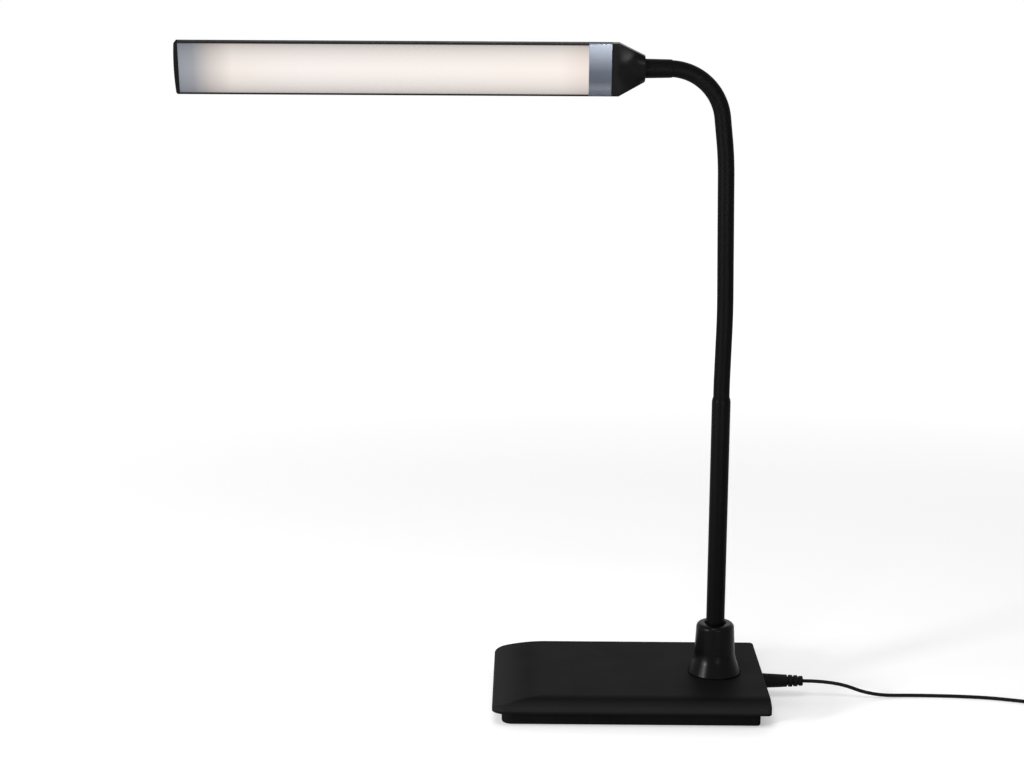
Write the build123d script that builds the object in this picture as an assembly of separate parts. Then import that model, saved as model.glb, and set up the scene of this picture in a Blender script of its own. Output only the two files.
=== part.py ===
"""Gooseneck desk lamp: weighted base, steel stem, flexible neck and slim LED head.

Millimetres, +Z up. The origin is the middle of the base on the surface it stands on,
+X runs from the head's free end towards the cord outlet, and +Y is the back of the base.
Every physical piece is one node, written to parts/NODE.step.
"""

import math
import os

from build123d import *

# ---- base --------------------------------------------------------------------------
BASE_LENGTH = 180.0          # along X
BASE_DEPTH = 120.0           # along Y
COVER_BOTTOM = 10.5          # height of the cover's lower rim
COVER_TOP = 19.0             # height of the flat top
COVER_WALL = 2.2
BACK_EDGE = 1.2              # small rounds on the back and right top edges
RIGHT_EDGE = 0.9
LEFT_CORNER = 8.0            # plan corner radii of the cover
RIGHT_CORNER = 3.0
BEVEL_RUN = 11.0             # the front slopes down over this depth ...
BEVEL_DROP = 3.6             # ... by this much, before the nose round
NOSE_RADIUS = 3.4
CREASE_RADIUS = 24.0         # softness of the line where the front slope begins
ROLL_RUN = 34.0              # the left end falls away over this length ...
ROLL_DROP = 5.0              # ... by this much
ROLL_START = 1.0             # degrees of slope where it leaves the flat top
ROLL_NOSE = 1.8

TRAY_INSET = 6.2             # tray walls behind the cover's sides
TRAY_FRONT_INSET = 8.0       # and behind its front and back
TRAY_BOTTOM = 0.6
TRAY_FLOOR = 2.0
TRAY_WALL = 2.0
TRAY_LEFT_CORNER = 6.5
TRAY_RIGHT_CORNER = 2.5
TRAY_FOOT_ROUND = 1.2
FLANGE_THICKNESS = 1.8
FIT = 0.2                    # clearance between moulded pieces that drop together

PAD_END_INSET = 12.0         # foam pad under the tray, behind the base's ends
PAD_SIDE_INSET = 12.5        # and behind its front and back
PAD_THICKNESS = 1.0
PAD_CORNER = 6.0

POST_END_INSET = 17.0        # cover screws, from the base's ends
POST_SIDE_INSET = 16.0       # and from its front and back
POST_RADIUS = 3.4
STANDOFF_HEIGHT = 3.4
SCREW_RADIUS = 1.4
SCREW_HEAD_RADIUS = 2.7
SCREW_HEAD_HEIGHT = 1.6
SCREW_LENGTH = 9.0

BALLAST_THICKNESS = 6.0
BALLAST_POST_GAP = 1.6       # between the ballast and the posts at the left end
BALLAST_CABLE_GAP = 1.1      # between the ballast and the cable under the stem
BALLAST_SIDE_GAP = 6.0       # between the ballast and the tray's side walls
BALLAST_CHAMFER = 0.6
BALLAST_PEG_INSET = 14.0     # from the ballast's ends
PEG_RADIUS = 3.0
BALLAST_SCREW_LENGTH = 6.0

# ---- stem and its fixing -----------------------------------------------------------
STEM_FROM_END = 32.3         # stem axis, on the base's centre line, from the right end
STEM_RADIUS = 6.1
STEM_BORE = 5.0
STEM_TOP = 203.6
STEM_LIP = 3.2               # length over which the tube's upper end is drawn in
SLEEVE_SOCKET = 6.0          # depth of the counterbore that takes the neck sleeve
SOCKET_CLEARANCE = 0.08      # radial, sleeve in the stem's socket
SPIGOT_RADIUS = 4.9          # threaded lower end of the stem
SPIGOT_BORE = 3.2
HUB_LEDGE = 25.0             # height of the seat for the stem's shoulder
HUB_FOOT_RADIUS = 17.6
HUB_TOP = 53.5
HUB_TOP_RADIUS = 12.4
HUB_TOP_ROUND = 3.0
HUB_WAIST_RADIUS = 13.5      # where the straight cone turns into the foot flare
HUB_WAIST_HEIGHT = 32.0
HUB_WAIST_ROUND = 30.0
HUB_MOUTH_RADIUS = 7.4       # dished opening round the stem
HUB_MOUTH_DEPTH = 2.4
HUB_COLUMN_RADIUS = 8.4      # solid core that carries the clamping load
HUB_CORE_HEIGHT = 9.0        # depth of the hollow moulded into the foot
HUB_WALL = 2.4
HUB_FOOT_EDGE = 0.8
HUB_CLEARANCE = 0.08         # radial, stem in hub
WASHER_RADIUS = 8.6
WASHER_THICKNESS = 1.0
NUT_ACROSS_FLATS = 15.0
NUT_HEIGHT = 4.6
SPIGOT_STICK_OUT = 1.0       # thread showing below the nut

# ---- power inlet and its plug ------------------------------------------------------
INLET_HEIGHT = 12.8
JACK_LENGTH = 12.0
JACK_WIDTH = 9.4
JACK_HEIGHT = 7.8
JACK_NOSE_RADIUS = 3.5
JACK_BORE = 2.80
JACK_BORE_DEPTH = 9.6
JACK_PIN_RADIUS = 1.0
CRADLE_WALL = 1.4
PLUG_BARREL_RADIUS = 2.75
PLUG_BARREL_BORE = 1.06
PLUG_BARREL_LENGTH = 9.2
GRIP_LENGTH = 16.6
GRIP_ROOT_RADIUS = 4.9
GRIP_END_RADIUS = 4.1
GRIP_ROUND = 0.5
RING_RADII = (4.0, 3.75, 3.3)
RING_LENGTH = 2.6
RING_GAP = 0.9
RING_NECK_RADIUS = 2.9
CORD_RADIUS = 1.2

# ---- flexible neck -----------------------------------------------------------------
NECK_RADIUS = 5.3            # outside of the sleeve
SLEEVE_WALL = 0.8
NECK_LEAN = (1.0, 58.4)      # path corner: offset from the stem axis, height above the stem
NECK_RETURN = (-1.0, 55.9)   # path corner: offset from the stem axis, depth below the head's axis
NECK_CORNER_OFFSET = -7.37   # where the vertical and the horizontal run would meet
NECK_BEND_RADIUS = 34.5
LEAN_RADIUS = 600.0
RETURN_RADIUS = 240.0
HEAD_AXIS_HEIGHT = 417.9
FERRULE_TIP_OFFSET = -36.4   # neck side of the upper ferrule
FIRST_JOINT = 8.0            # distances along the neck's centre line
LEAN_START = 4.0             # straight length above the first joint
LAST_JOINT_BEFORE_TIP = 3.5
UPPER_SPACING = 10.0         # joints in the bend
UPPER_LINKS = 5
LOWER_LINKS = 6
LINK_RADIUS = 3.8
BALL_RADIUS = 3.0
BALL_CLEARANCE = 0.05
BALL_NECK_RADIUS = 1.7
CUP_DEPTH = 1.0              # how far the cup's rim reaches past the ball's middle
SHOULDER_DROP = 3.5          # from the ball's middle down to the link's shoulder
WIRE_BORE = 1.2
CABLE_RADIUS = 0.6
RIB_PITCH = 4.0
RIB_DEPTH = 0.45

# ---- upper ferrule and swivel ------------------------------------------------------
FERRULE_TIP_RADIUS = 5.62
FERRULE_SHOULDER_RADIUS = 5.78
FERRULE_END_RADIUS = 6.1
FERRULE_LENGTH = 17.05       # from the tip to the shoulder beside the collar
FERRULE_CHAMFER = 1.4
FERRULE_SOCKET_DEPTH = 2.6
FERRULE_CLEARANCE = 0.12     # radial, sleeve in the ferrule
SWIVEL_RADIUS = 3.2
SWIVEL_CLEARANCE = 0.05
SWIVEL_BORE = 1.9
BUSH_RADIUS = 4.8
BUSH_FLANGE_RADIUS = 5.9
BUSH_FLANGE = 0.8
BUSH_LENGTH = 7.0            # below the flange
SPRING_WASHER_THICKNESS = 0.6
SPRING_WASHER_RADIUS = 4.2
STOP_THICKNESS = 0.7
STOP_RADIUS = 4.2
STOP_TAB_REACH = 1.0
STOP_TAB_WIDTH = 1.8
CLIP_THICKNESS = 0.7
CLIP_RADIUS = 4.2
CLIP_GROOVE_DEPTH = 0.6
CLIP_OPENING = 2.4
SWIVEL_END = 1.2             # spigot beyond the clip
SWIVEL_MINIMUM = -10.0       # degrees from the modelled pose
SWIVEL_MAXIMUM = 170.0
STOP_MARGIN = 4.0            # degrees left between the tab and the stop at the limits

# ---- head --------------------------------------------------------------------------
HEAD_TILT = 11.0             # the lit face looks this far below the horizontal
HEAD_LENGTH = 275.4          # from the free end to the collar
HEAD_WIDTH = 33.8
HEAD_FRONT = -5.6            # lit face, in the head's own untilted section
HEAD_FLANK = 5.8
HEAD_CROWN = 5.8             # rise of the rounded back beyond the flanks
HEAD_EDGE_ROUND = 0.7
HEAD_WALL = 1.2
END_CAP_LENGTH = 3.0
END_CAP_BULGE = 175.0        # radius of the cap's outer face
END_CAP_SPIGOT = 3.0
HEAD_BACK_ROUND = 2.2
END_CAP_CORNER = 2.4
COLLAR_LENGTH = 20.7
COLLAR_STRAIGHT = 4.1        # before the taper begins
COLLAR_SMALL_RADIUS = 8.4
COLLAR_WALL = 1.6
COLLAR_TONGUE = 5.0
COLLAR_CHAMBER_RADIUS = 5.5
COLLAR_CHAMBER_LENGTH = 4.6
TONGUE_WALL = 1.4
BAND_LENGTH = 14.7
BAND_THICKNESS = 0.6
DIFFUSER_THICKNESS = 2.0
DIFFUSER_RECESS = 0.25
DIFFUSER_CLEARANCE = 0.06
LEDGE_WIDTH = 0.8
LEDGE_THICKNESS = 1.0
REFLECTOR_WALL = 0.6
REFLECTOR_FLOOR_WIDTH = 13.0
REFLECTOR_SLOT = 4.4
REFLECTOR_END = 3.0
LED_BOARD_WIDTH = 12.0
LED_BOARD_THICKNESS = 1.0
LED_BOARD_DEPTH = 8.6        # from the lit face to the board's front
LED_BOARD_OVERLAP = 1.2      # how far the board runs on past the diffuser
LED_COUNT = 24
LED_LENGTH = 3.5
LED_WIDTH = 2.8
LED_HEIGHT = 0.7
LED_FIRST_INSET = 14.0
LED_LAST_INSET = 6.0
DRIVER_LENGTH = 19.0
DRIVER_WIDTH = 20.0
DRIVER_THICKNESS = 1.2
LINK_PIN_RADIUS = 0.4
LINK_PIN_SPACING = 2.54
BUTTON_FROM_COLLAR = 7.5
BUTTON_RADIUS = 4.6
BUTTON_CLEARANCE = 0.2
BUTTON_PROUD = 0.9
BUTTON_DOME = 0.6
BUTTON_TRAVEL = 0.5
BUTTON_FLANGE_REACH = 1.0
BUTTON_FLANGE_THICKNESS = 1.0
BUTTON_BOSS_WALL = 1.4
BUTTON_PLAY = 0.05
SWITCH_SIZE = 6.0
SWITCH_HEIGHT = 2.4
SWITCH_CAVITY = 2.0
PLUNGER_RADIUS = 1.6
PLUNGER_CLEARANCE = 0.05
HEAD_SCREW_RADIUS = 0.9
HEAD_SCREW_HEAD = 1.7        # radius of the recess for the head
HEAD_SCREW_LENGTH = 3.2
HEAD_SCREW_SPACING = 20.0

# ---- cord put away beyond the base ---------------------------------------------------
# Corners of the cord's route beyond the plug, as far as the coil, chosen by hand.
CORD_ROUTE = [
    (139.0, 0.0, 12.8),
    (164.0, 1.5, 2.2),
    (196.0, 5.5, 1.25),
    (238.0, 3.0, 1.25),
    (270.0, -6.0, 1.25),
    (295.0, -16.0, 1.25),
]
COIL_CENTRE = (296.0, -30.5)
COIL_MIDDLE_RADIUS = 14.0
COIL_SECTION_WIDTH = 10.0
COIL_SECTION_HEIGHT = 9.6
COIL_ROUND = 2.0
TIE_LENGTH = 6.0
TIE_THICKNESS = 0.8
ADAPTER_LEAD_ROUTE = [       # as far as the adapter's strain relief
    (310.0, -35.0, 8.0),
    (310.8, -44.0, 8.6),
    (310.0, -53.2, 12.0),
]
ADAPTER_PLACE = (310.0, -75.0)   # middle of the face that the lead enters
ADAPTER_WIDTH = 30.0
ADAPTER_LENGTH = 44.0
ADAPTER_HEIGHT = 24.0
ADAPTER_ROUND = 3.0
ADAPTER_SEAM_WIDTH = 0.6
ADAPTER_SEAM_DEPTH = 0.4
RELIEF_LENGTH = 12.0
RELIEF_ROOT_RADIUS = 3.2
RELIEF_END_RADIUS = 1.9
RELIEF_PLUG = 2.0            # length of the relief held inside the case
BLADE_SPACING = 12.7
BLADE_WIDTH = 6.3
BLADE_THICKNESS = 1.5
BLADE_LENGTH = 17.0
BLADE_ROOT = 4.0             # length held inside the case

# ---- sizes that follow from the ones above -------------------------------------------
STEM_X = BASE_LENGTH / 2 - STEM_FROM_END
PAD_LENGTH = BASE_LENGTH - 2 * PAD_END_INSET
PAD_DEPTH = BASE_DEPTH - 2 * PAD_SIDE_INSET
POST_SPACING_X = BASE_LENGTH - 2 * POST_END_INSET
POST_SPACING_Y = BASE_DEPTH - 2 * POST_SIDE_INSET
BALLAST_LEFT = -POST_SPACING_X / 2 + POST_RADIUS + BALLAST_POST_GAP
BALLAST_RIGHT = STEM_X - CABLE_RADIUS - BALLAST_CABLE_GAP
BALLAST_DEPTH = BASE_DEPTH - 2 * (TRAY_FRONT_INSET + TRAY_WALL + BALLAST_SIDE_GAP)
ROOF = COVER_TOP - COVER_WALL
TRAY_TOP = COVER_BOTTOM + FLANGE_THICKNESS
FLOOR_TOP = TRAY_BOTTOM + TRAY_FLOOR
STANDOFF_TOP = FLOOR_TOP + STANDOFF_HEIGHT
BALLAST_TOP = FLOOR_TOP + BALLAST_THICKNESS
NUT_TOP = ROOF - WASHER_THICKNESS
SPIGOT_BOTTOM = NUT_TOP - NUT_HEIGHT - SPIGOT_STICK_OUT
INLET_WALL = BASE_LENGTH / 2 - COVER_WALL
JACK_FRONT = INLET_WALL - SWIVEL_CLEARANCE
JACK_BACK = JACK_FRONT - JACK_LENGTH
JACK_FLOOR = INLET_HEIGHT - JACK_HEIGHT / 2
SLEEVE_BORE = NECK_RADIUS - SLEEVE_WALL
FERRULE_TIP = STEM_X + FERRULE_TIP_OFFSET
FERRULE_SHOULDER = FERRULE_TIP - FERRULE_LENGTH
COLLAR_RIGHT = FERRULE_SHOULDER - SWIVEL_CLEARANCE
COLLAR_LEFT = COLLAR_RIGHT - COLLAR_LENGTH
BUSH_END = COLLAR_RIGHT - BUSH_FLANGE - BUSH_LENGTH
STOP_START = BUSH_END - SPRING_WASHER_THICKNESS - SWIVEL_CLEARANCE
CLIP_START = STOP_START - STOP_THICKNESS
SPIGOT_END = CLIP_START - CLIP_THICKNESS - SWIVEL_END
HALF_WIDTH = HEAD_WIDTH / 2
HEAD_LEFT = COLLAR_LEFT - HEAD_LENGTH
HOUSING_LEFT = HEAD_LEFT + END_CAP_LENGTH
BUTTON_X = COLLAR_LEFT - BUTTON_FROM_COLLAR
BAND_LEFT = COLLAR_LEFT - BAND_LENGTH
POCKET_DEPTH = HEAD_FRONT + DIFFUSER_RECESS + DIFFUSER_THICKNESS
CAVITY_FRONT = POCKET_DEPTH + LEDGE_THICKNESS
CROWN_TOP = HEAD_FRONT + HEAD_FLANK + HEAD_CROWN
CROWN_RADIUS = (HALF_WIDTH ** 2 + HEAD_CROWN ** 2) / (2 * HEAD_CROWN)
LED_BOARD_FRONT = HEAD_FRONT + LED_BOARD_DEPTH
DRIVER_TOP = CAVITY_FRONT + DRIVER_THICKNESS
SWITCH_TOP = DRIVER_TOP + SWITCH_HEIGHT


# ---- helpers ---------------------------------------------------------------------------
def block(x_range, y_range, z_range):
    """A box between three pairs of limits."""
    low = Vector(x_range[0], y_range[0], z_range[0])
    high = Vector(x_range[1], y_range[1], z_range[1])
    size = high - low
    return Pos((low + high) * 0.5) * Box(size.X, size.Y, size.Z)


def post(radius, x, y, bottom, top):
    """An upright cylinder."""
    return Pos(x, y, bottom) * Cylinder(radius, top - bottom, align=(Align.CENTER, Align.CENTER, Align.MIN))


def bar(radius, x_range, y=0.0, z=0.0):
    """A cylinder along X."""
    place = Plane(origin=(x_range[0], y, z), z_dir=(1, 0, 0))
    return place * Cylinder(radius, x_range[1] - x_range[0], align=(Align.CENTER, Align.CENTER, Align.MIN))


def turned(corners):
    """A solid of revolution about Z from (radius, height) corners."""
    outline = Polyline([(radius, 0, height) for radius, height in corners], close=True)
    return revolve(make_face(outline), Axis.Z)


def turned_edges(edges):
    """A solid of revolution about Z from the edges of its half section in the XZ plane."""
    return revolve(make_face(Curve() + edges), Axis.Z)


def along_x(x, direction, y=0.0, z=0.0):
    """A plane at x whose normal points along +X or -X, for turned parts that lie down."""
    return Plane(origin=(x, y, z), x_dir=(0, 1, 0), z_dir=(direction, 0, 0))


def rounded_plate(corners, radii, plane, thickness):
    """Extrude a polygon with a radius of its own at each corner."""
    outline = FilletPolyline(corners, radius=radii, close=True)
    return extrude(plane * make_face(outline), thickness)


def four_places(spacing_x, spacing_y):
    """The corners of a rectangle centred on the origin."""
    return [(side * spacing_x / 2, end * spacing_y / 2) for side in (-1, 1) for end in (-1, 1)]


def tube_along(path, radius, bore=0.0):
    """A round solid, or a tube when it has a bore, swept along a path."""
    start = Plane(origin=path @ 0, z_dir=path % 0)
    section = Circle(radius)
    if bore > 0:
        section = section - Circle(bore)
    return sweep(start * section, path=path)


def arc_radii(corners):
    """The radius of each corner of a cord's route: 0.45 of the shorter run over tan(turn / 2)."""
    points = [Vector(corner) for corner in corners]
    radii = []
    for before, corner, after in zip(points, points[1:], points[2:]):
        arriving = corner - before
        leaving = after - corner
        half_turn = math.radians(arriving.get_angle(leaving)) / 2
        radii.append(0.45 * min(arriving.length, leaving.length) / math.tan(half_turn))
    return radii


def routed(corners, name):
    """The smooth path of a cord: straight runs joined by tangent arcs."""
    radii = arc_radii(corners)
    path = FilletPolyline(corners, radius=radii)
    print(name, "length", round(path.length, 1), "radii", [round(radius, 1) for radius in radii])
    return path


# ---- base ------------------------------------------------------------------------------
def plan_prism(inset_x, inset_y, left_corner, right_corner, bottom, top):
    """The plan of the base, inset from its sides, between two heights."""
    x = BASE_LENGTH / 2 - inset_x
    y = BASE_DEPTH / 2 - inset_y
    corners = [(-x, -y), (x, -y), (x, y), (-x, y)]
    radii = [left_corner, right_corner, right_corner, left_corner]
    return rounded_plate(corners, radii, Plane.XY.offset(bottom), top - bottom)


def side_view(inset, bottom):
    """The cover seen from its end: front nose, front slope and flat top, as a prism along X."""
    front = -BASE_DEPTH / 2 + inset
    back = BASE_DEPTH / 2 - inset
    top = COVER_TOP - inset
    nose = max(NOSE_RADIUS - inset, 0.6)
    corners = [(front, bottom), (front, top - BEVEL_DROP), (front + BEVEL_RUN, top), (back, top), (back, bottom)]
    radii = [0, nose, CREASE_RADIUS, max(BACK_EDGE - inset, 0), 0]
    return rounded_plate(corners, radii, Plane.YZ.offset(-BASE_LENGTH), 2 * BASE_LENGTH)


def front_view(inset, bottom):
    """The cover seen from the front: flat top that rolls down to the left, as a prism along Y."""
    left = -BASE_LENGTH / 2 + inset
    right = BASE_LENGTH / 2 - inset
    top = COVER_TOP - inset
    chord_angle = math.atan2(ROLL_DROP, ROLL_RUN)
    turn = chord_angle - math.radians(ROLL_START)
    rise = math.hypot(ROLL_RUN, ROLL_DROP) / 2 * math.tan(turn / 2)
    middle = (
        left + ROLL_RUN / 2 - rise * math.sin(chord_angle),
        top - ROLL_DROP / 2 + rise * math.cos(chord_angle),
    )
    edges = [
        Polyline((left, top - ROLL_DROP), (left, bottom), (right, bottom), (right, top), (left + ROLL_RUN, top)),
        ThreePointArc((left + ROLL_RUN, top), middle, (left, top - ROLL_DROP)),
    ]
    face = make_face(Curve() + edges)
    shoulder = face.vertices().sort_by_distance((left, top - ROLL_DROP, 0))[0]
    face = fillet(shoulder, max(ROLL_NOSE - inset, 0.4))
    if inset < RIGHT_EDGE:
        end = face.vertices().sort_by_distance((right, top, 0))[0]
        face = fillet(end, RIGHT_EDGE - inset)
    return extrude(Plane.XZ.offset(-BASE_DEPTH) * face, 2 * BASE_DEPTH)


def cover_form(inset, bottom):
    """The cover's outer form, or its hollow when inset by the wall."""
    left_corner = max(LEFT_CORNER - inset, 0.5)
    right_corner = max(RIGHT_CORNER - inset, 0.5)
    plan = plan_prism(inset, inset, left_corner, right_corner, bottom, COVER_TOP - inset)
    return plan & side_view(inset, bottom) & front_view(inset, bottom)


def make_base_cover():
    """Moulded cover with four screw posts, the stem's hole and the inlet's opening."""
    outside = cover_form(0, COVER_BOTTOM)
    posts = [post(POST_RADIUS, x, y, COVER_BOTTOM, COVER_TOP) for x, y in four_places(POST_SPACING_X, POST_SPACING_Y)]
    shell = outside - cover_form(COVER_WALL, COVER_BOTTOM - COVER_WALL)
    for cover_post in posts:
        shell += cover_post & outside
    for x, y in four_places(POST_SPACING_X, POST_SPACING_Y):
        shell += post(POST_RADIUS, x, y, STANDOFF_TOP, COVER_BOTTOM + COVER_WALL)
        shell -= post(SCREW_RADIUS, x, y, STANDOFF_TOP, screw_head_top() + SCREW_LENGTH)
    shell -= post(SPIGOT_RADIUS + HUB_CLEARANCE, STEM_X, 0, ROOF - COVER_WALL, COVER_TOP + COVER_WALL)
    shell -= bar(JACK_NOSE_RADIUS + FIT, (INLET_WALL - COVER_WALL, BASE_LENGTH), z=INLET_HEIGHT)
    return shell


def screw_head_top():
    """Height where a cover screw's head bears on the tray."""
    return PAD_THICKNESS + FIT + SCREW_HEAD_HEIGHT


def cradle_limits(clearance):
    """X and Y limits round the jack, larger than it by a clearance."""
    half = JACK_WIDTH / 2 + clearance
    return (JACK_BACK - clearance, INLET_WALL - FIT), (-half, half)


def make_base_tray():
    """Lower tray with its hidden flange, screw standoffs, ballast pegs and jack cradle."""
    tray = plan_prism(TRAY_INSET, TRAY_FRONT_INSET, TRAY_LEFT_CORNER, TRAY_RIGHT_CORNER, TRAY_BOTTOM, COVER_BOTTOM)
    tray = fillet(tray.edges().group_by(Axis.Z)[0], TRAY_FOOT_ROUND)
    below_top = block((-BASE_LENGTH, BASE_LENGTH), (-BASE_DEPTH, BASE_DEPTH), (COVER_BOTTOM, TRAY_TOP))
    tray += cover_form(COVER_WALL + FIT, COVER_BOTTOM) & below_top
    x_limits, y_limits = cradle_limits(FIT + CRADLE_WALL)
    tray -= plan_prism(
        TRAY_INSET + TRAY_WALL, TRAY_FRONT_INSET + TRAY_WALL,
        TRAY_LEFT_CORNER - TRAY_WALL, max(TRAY_RIGHT_CORNER - TRAY_WALL, 0.5), FLOOR_TOP, TRAY_TOP + 1,
    )
    tray += block(x_limits, y_limits, (JACK_FLOOR - CRADLE_WALL, TRAY_TOP))
    x_limits, y_limits = cradle_limits(FIT)
    tray -= block((x_limits[0], INLET_WALL), y_limits, (JACK_FLOOR, TRAY_TOP + 1))
    pocket_x = PAD_LENGTH / 2 + FIT
    pocket_y = PAD_DEPTH / 2 + FIT
    corners = [(-pocket_x, -pocket_y), (pocket_x, -pocket_y), (pocket_x, pocket_y), (-pocket_x, pocket_y)]
    tray -= rounded_plate(corners, [PAD_CORNER] * 4, Plane.XY, PAD_THICKNESS)
    for x, y in four_places(POST_SPACING_X, POST_SPACING_Y):
        tray += post(POST_RADIUS, x, y, FLOOR_TOP, STANDOFF_TOP)
        tray -= post(SCREW_HEAD_RADIUS + FIT, x, y, 0, screw_head_top())
        tray -= post(SCREW_RADIUS + FIT, x, y, 0, STANDOFF_TOP)
    for x, y in ballast_pegs():
        tray += post(PEG_RADIUS, x, y, FLOOR_TOP, BALLAST_TOP)
        tray -= post(SCREW_RADIUS, x, y, BALLAST_TOP - BALLAST_SCREW_LENGTH, BALLAST_TOP)
    return tray


def ballast_pegs():
    """Places of the two pegs that locate the ballast."""
    return [(BALLAST_LEFT + BALLAST_PEG_INSET, 0.0), (BALLAST_RIGHT - BALLAST_PEG_INSET, 0.0)]


def make_base_pad():
    """Foam pad under the tray, which the lamp stands on."""
    x = PAD_LENGTH / 2
    y = PAD_DEPTH / 2
    return rounded_plate([(-x, -y), (x, -y), (x, y), (-x, y)], [PAD_CORNER] * 4, Plane.XY, PAD_THICKNESS)


def pan_screw(head_radius, head_height, length, x, y, seat, direction):
    """A pan-head screw whose head lies on its seat; direction is where the shank points."""
    screw = turned([(0, -head_height), (head_radius * 0.8, -head_height), (head_radius, -head_height * 0.4),
                    (head_radius, 0), (SCREW_RADIUS, 0), (SCREW_RADIUS, length - SCREW_RADIUS), (0, length)])
    recess = Pos(0, 0, -head_height) * (Rectangle(head_radius, 0.5) + Rectangle(0.5, head_radius))
    screw -= extrude(recess, head_height * 0.5)
    return Plane(origin=(x, y, seat), z_dir=(0, 0, direction)) * screw


def make_base_screws():
    """The four screws that hold the tray to the cover."""
    return [
        pan_screw(SCREW_HEAD_RADIUS, SCREW_HEAD_HEIGHT, SCREW_LENGTH, x, y, screw_head_top(), 1)
        for x, y in four_places(POST_SPACING_X, POST_SPACING_Y)
    ]


def make_ballast_plate():
    """Steel weight that drops over two pegs."""
    y = BALLAST_DEPTH / 2
    plate = block((BALLAST_LEFT, BALLAST_RIGHT), (-y, y), (FLOOR_TOP, BALLAST_TOP))
    plate = chamfer(plate.edges().filter_by(Axis.Z), BALLAST_CHAMFER * 4)
    plate = chamfer(plate.edges().group_by(Axis.Z)[-1], BALLAST_CHAMFER)
    for peg_x, peg_y in ballast_pegs():
        plate -= post(PEG_RADIUS + FIT, peg_x, peg_y, FLOOR_TOP, BALLAST_TOP)
    return plate


def make_ballast_screws():
    """The two screws whose heads overlap the ballast."""
    head = PEG_RADIUS + 2 * FIT + 1.0
    return [
        pan_screw(head, SCREW_HEAD_HEIGHT, BALLAST_SCREW_LENGTH, x, y, BALLAST_TOP, -1)
        for x, y in ballast_pegs()
    ]


# ---- power inlet and plug ------------------------------------------------------------------
def make_dc_jack():
    """Barrel jack body with its nose in the cover's opening."""
    half = JACK_WIDTH / 2
    limits = (INLET_HEIGHT - JACK_HEIGHT / 2, INLET_HEIGHT + JACK_HEIGHT / 2)
    body = block((JACK_BACK, JACK_FRONT), (-half, half), limits)
    body = chamfer(body.edges().filter_by(Axis.X), 0.6)
    body += bar(JACK_NOSE_RADIUS, (JACK_FRONT, BASE_LENGTH / 2), z=INLET_HEIGHT)
    end = BASE_LENGTH / 2
    body -= bar(JACK_BORE, (end - JACK_BORE_DEPTH, end), z=INLET_HEIGHT)
    return body


def make_jack_pin():
    """Centre contact of the jack."""
    start = BASE_LENGTH / 2 - JACK_BORE_DEPTH
    pin = turned([(0, 0), (JACK_PIN_RADIUS, 0), (JACK_PIN_RADIUS, 7.4), (0.4, 8.0), (0, 8.0)])
    return along_x(start, 1, z=INLET_HEIGHT) * pin


def make_plug_barrel():
    """Metal barrel of the plug, inside the jack."""
    length = PLUG_BARREL_LENGTH
    tube = turned([
        (PLUG_BARREL_BORE, 0), (PLUG_BARREL_RADIUS - 0.3, 0), (PLUG_BARREL_RADIUS, 0.4),
        (PLUG_BARREL_RADIUS, length), (PLUG_BARREL_BORE, length),
    ])
    return along_x(BASE_LENGTH / 2 - length, 1, z=INLET_HEIGHT) * tube


def plug_end():
    """X of the plug's cord end."""
    rings = len(RING_RADII)
    return BASE_LENGTH / 2 + GRIP_LENGTH + rings * (RING_LENGTH + RING_GAP)


def make_plug_grip():
    """Moulded grip, tapered, with the three rings of its strain relief."""
    corners = [
        (0, 0), (GRIP_ROOT_RADIUS - GRIP_ROUND, 0), (GRIP_ROOT_RADIUS, GRIP_ROUND),
        (GRIP_END_RADIUS, GRIP_LENGTH - GRIP_ROUND), (GRIP_END_RADIUS - GRIP_ROUND, GRIP_LENGTH),
        (RING_NECK_RADIUS, GRIP_LENGTH),
    ]
    place = GRIP_LENGTH
    neck = RING_NECK_RADIUS
    for radius in RING_RADII:
        ring_start = place + RING_GAP
        place = ring_start + RING_LENGTH
        edge = GRIP_ROUND / 2
        corners += [(neck, ring_start), (radius - edge, ring_start), (radius, ring_start + edge)]
        neck = min(RING_NECK_RADIUS, radius - 0.6)
        corners += [(radius, place - edge), (radius - edge, place), (neck, place)]
    corners = corners[:-1] + [(0, place)]
    return along_x(BASE_LENGTH / 2, 1, z=INLET_HEIGHT) * turned(corners)


# ---- stem --------------------------------------------------------------------------------
def make_stem_hub():
    """Moulded hub that stands on the cover and holds the stem."""
    bore = STEM_RADIUS + HUB_CLEARANCE
    hole = SPIGOT_RADIUS + HUB_CLEARANCE
    outline = [
        (hole, COVER_TOP), (HUB_FOOT_RADIUS, COVER_TOP), (HUB_FOOT_RADIUS, COVER_TOP + HUB_FOOT_EDGE),
        (HUB_WAIST_RADIUS, HUB_WAIST_HEIGHT), (HUB_TOP_RADIUS, HUB_TOP), (HUB_MOUTH_RADIUS, HUB_TOP),
        (bore, HUB_TOP - HUB_MOUTH_DEPTH), (bore, HUB_LEDGE), (hole, HUB_LEDGE),
    ]
    radii = [0, 0, 0, HUB_WAIST_ROUND, HUB_TOP_ROUND, 0, 0, 0, 0]
    hub = revolve(Plane.XZ * make_face(FilletPolyline(outline, radius=radii, close=True)), Axis.Z)
    core_top = COVER_TOP + HUB_CORE_HEIGHT
    hub -= turned([
        (HUB_COLUMN_RADIUS, COVER_TOP), (HUB_FOOT_RADIUS - HUB_WALL, COVER_TOP),
        (HUB_WAIST_RADIUS - HUB_WALL + 0.6, core_top), (HUB_COLUMN_RADIUS, core_top),
    ])
    return Pos(STEM_X, 0, 0) * hub


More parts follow.
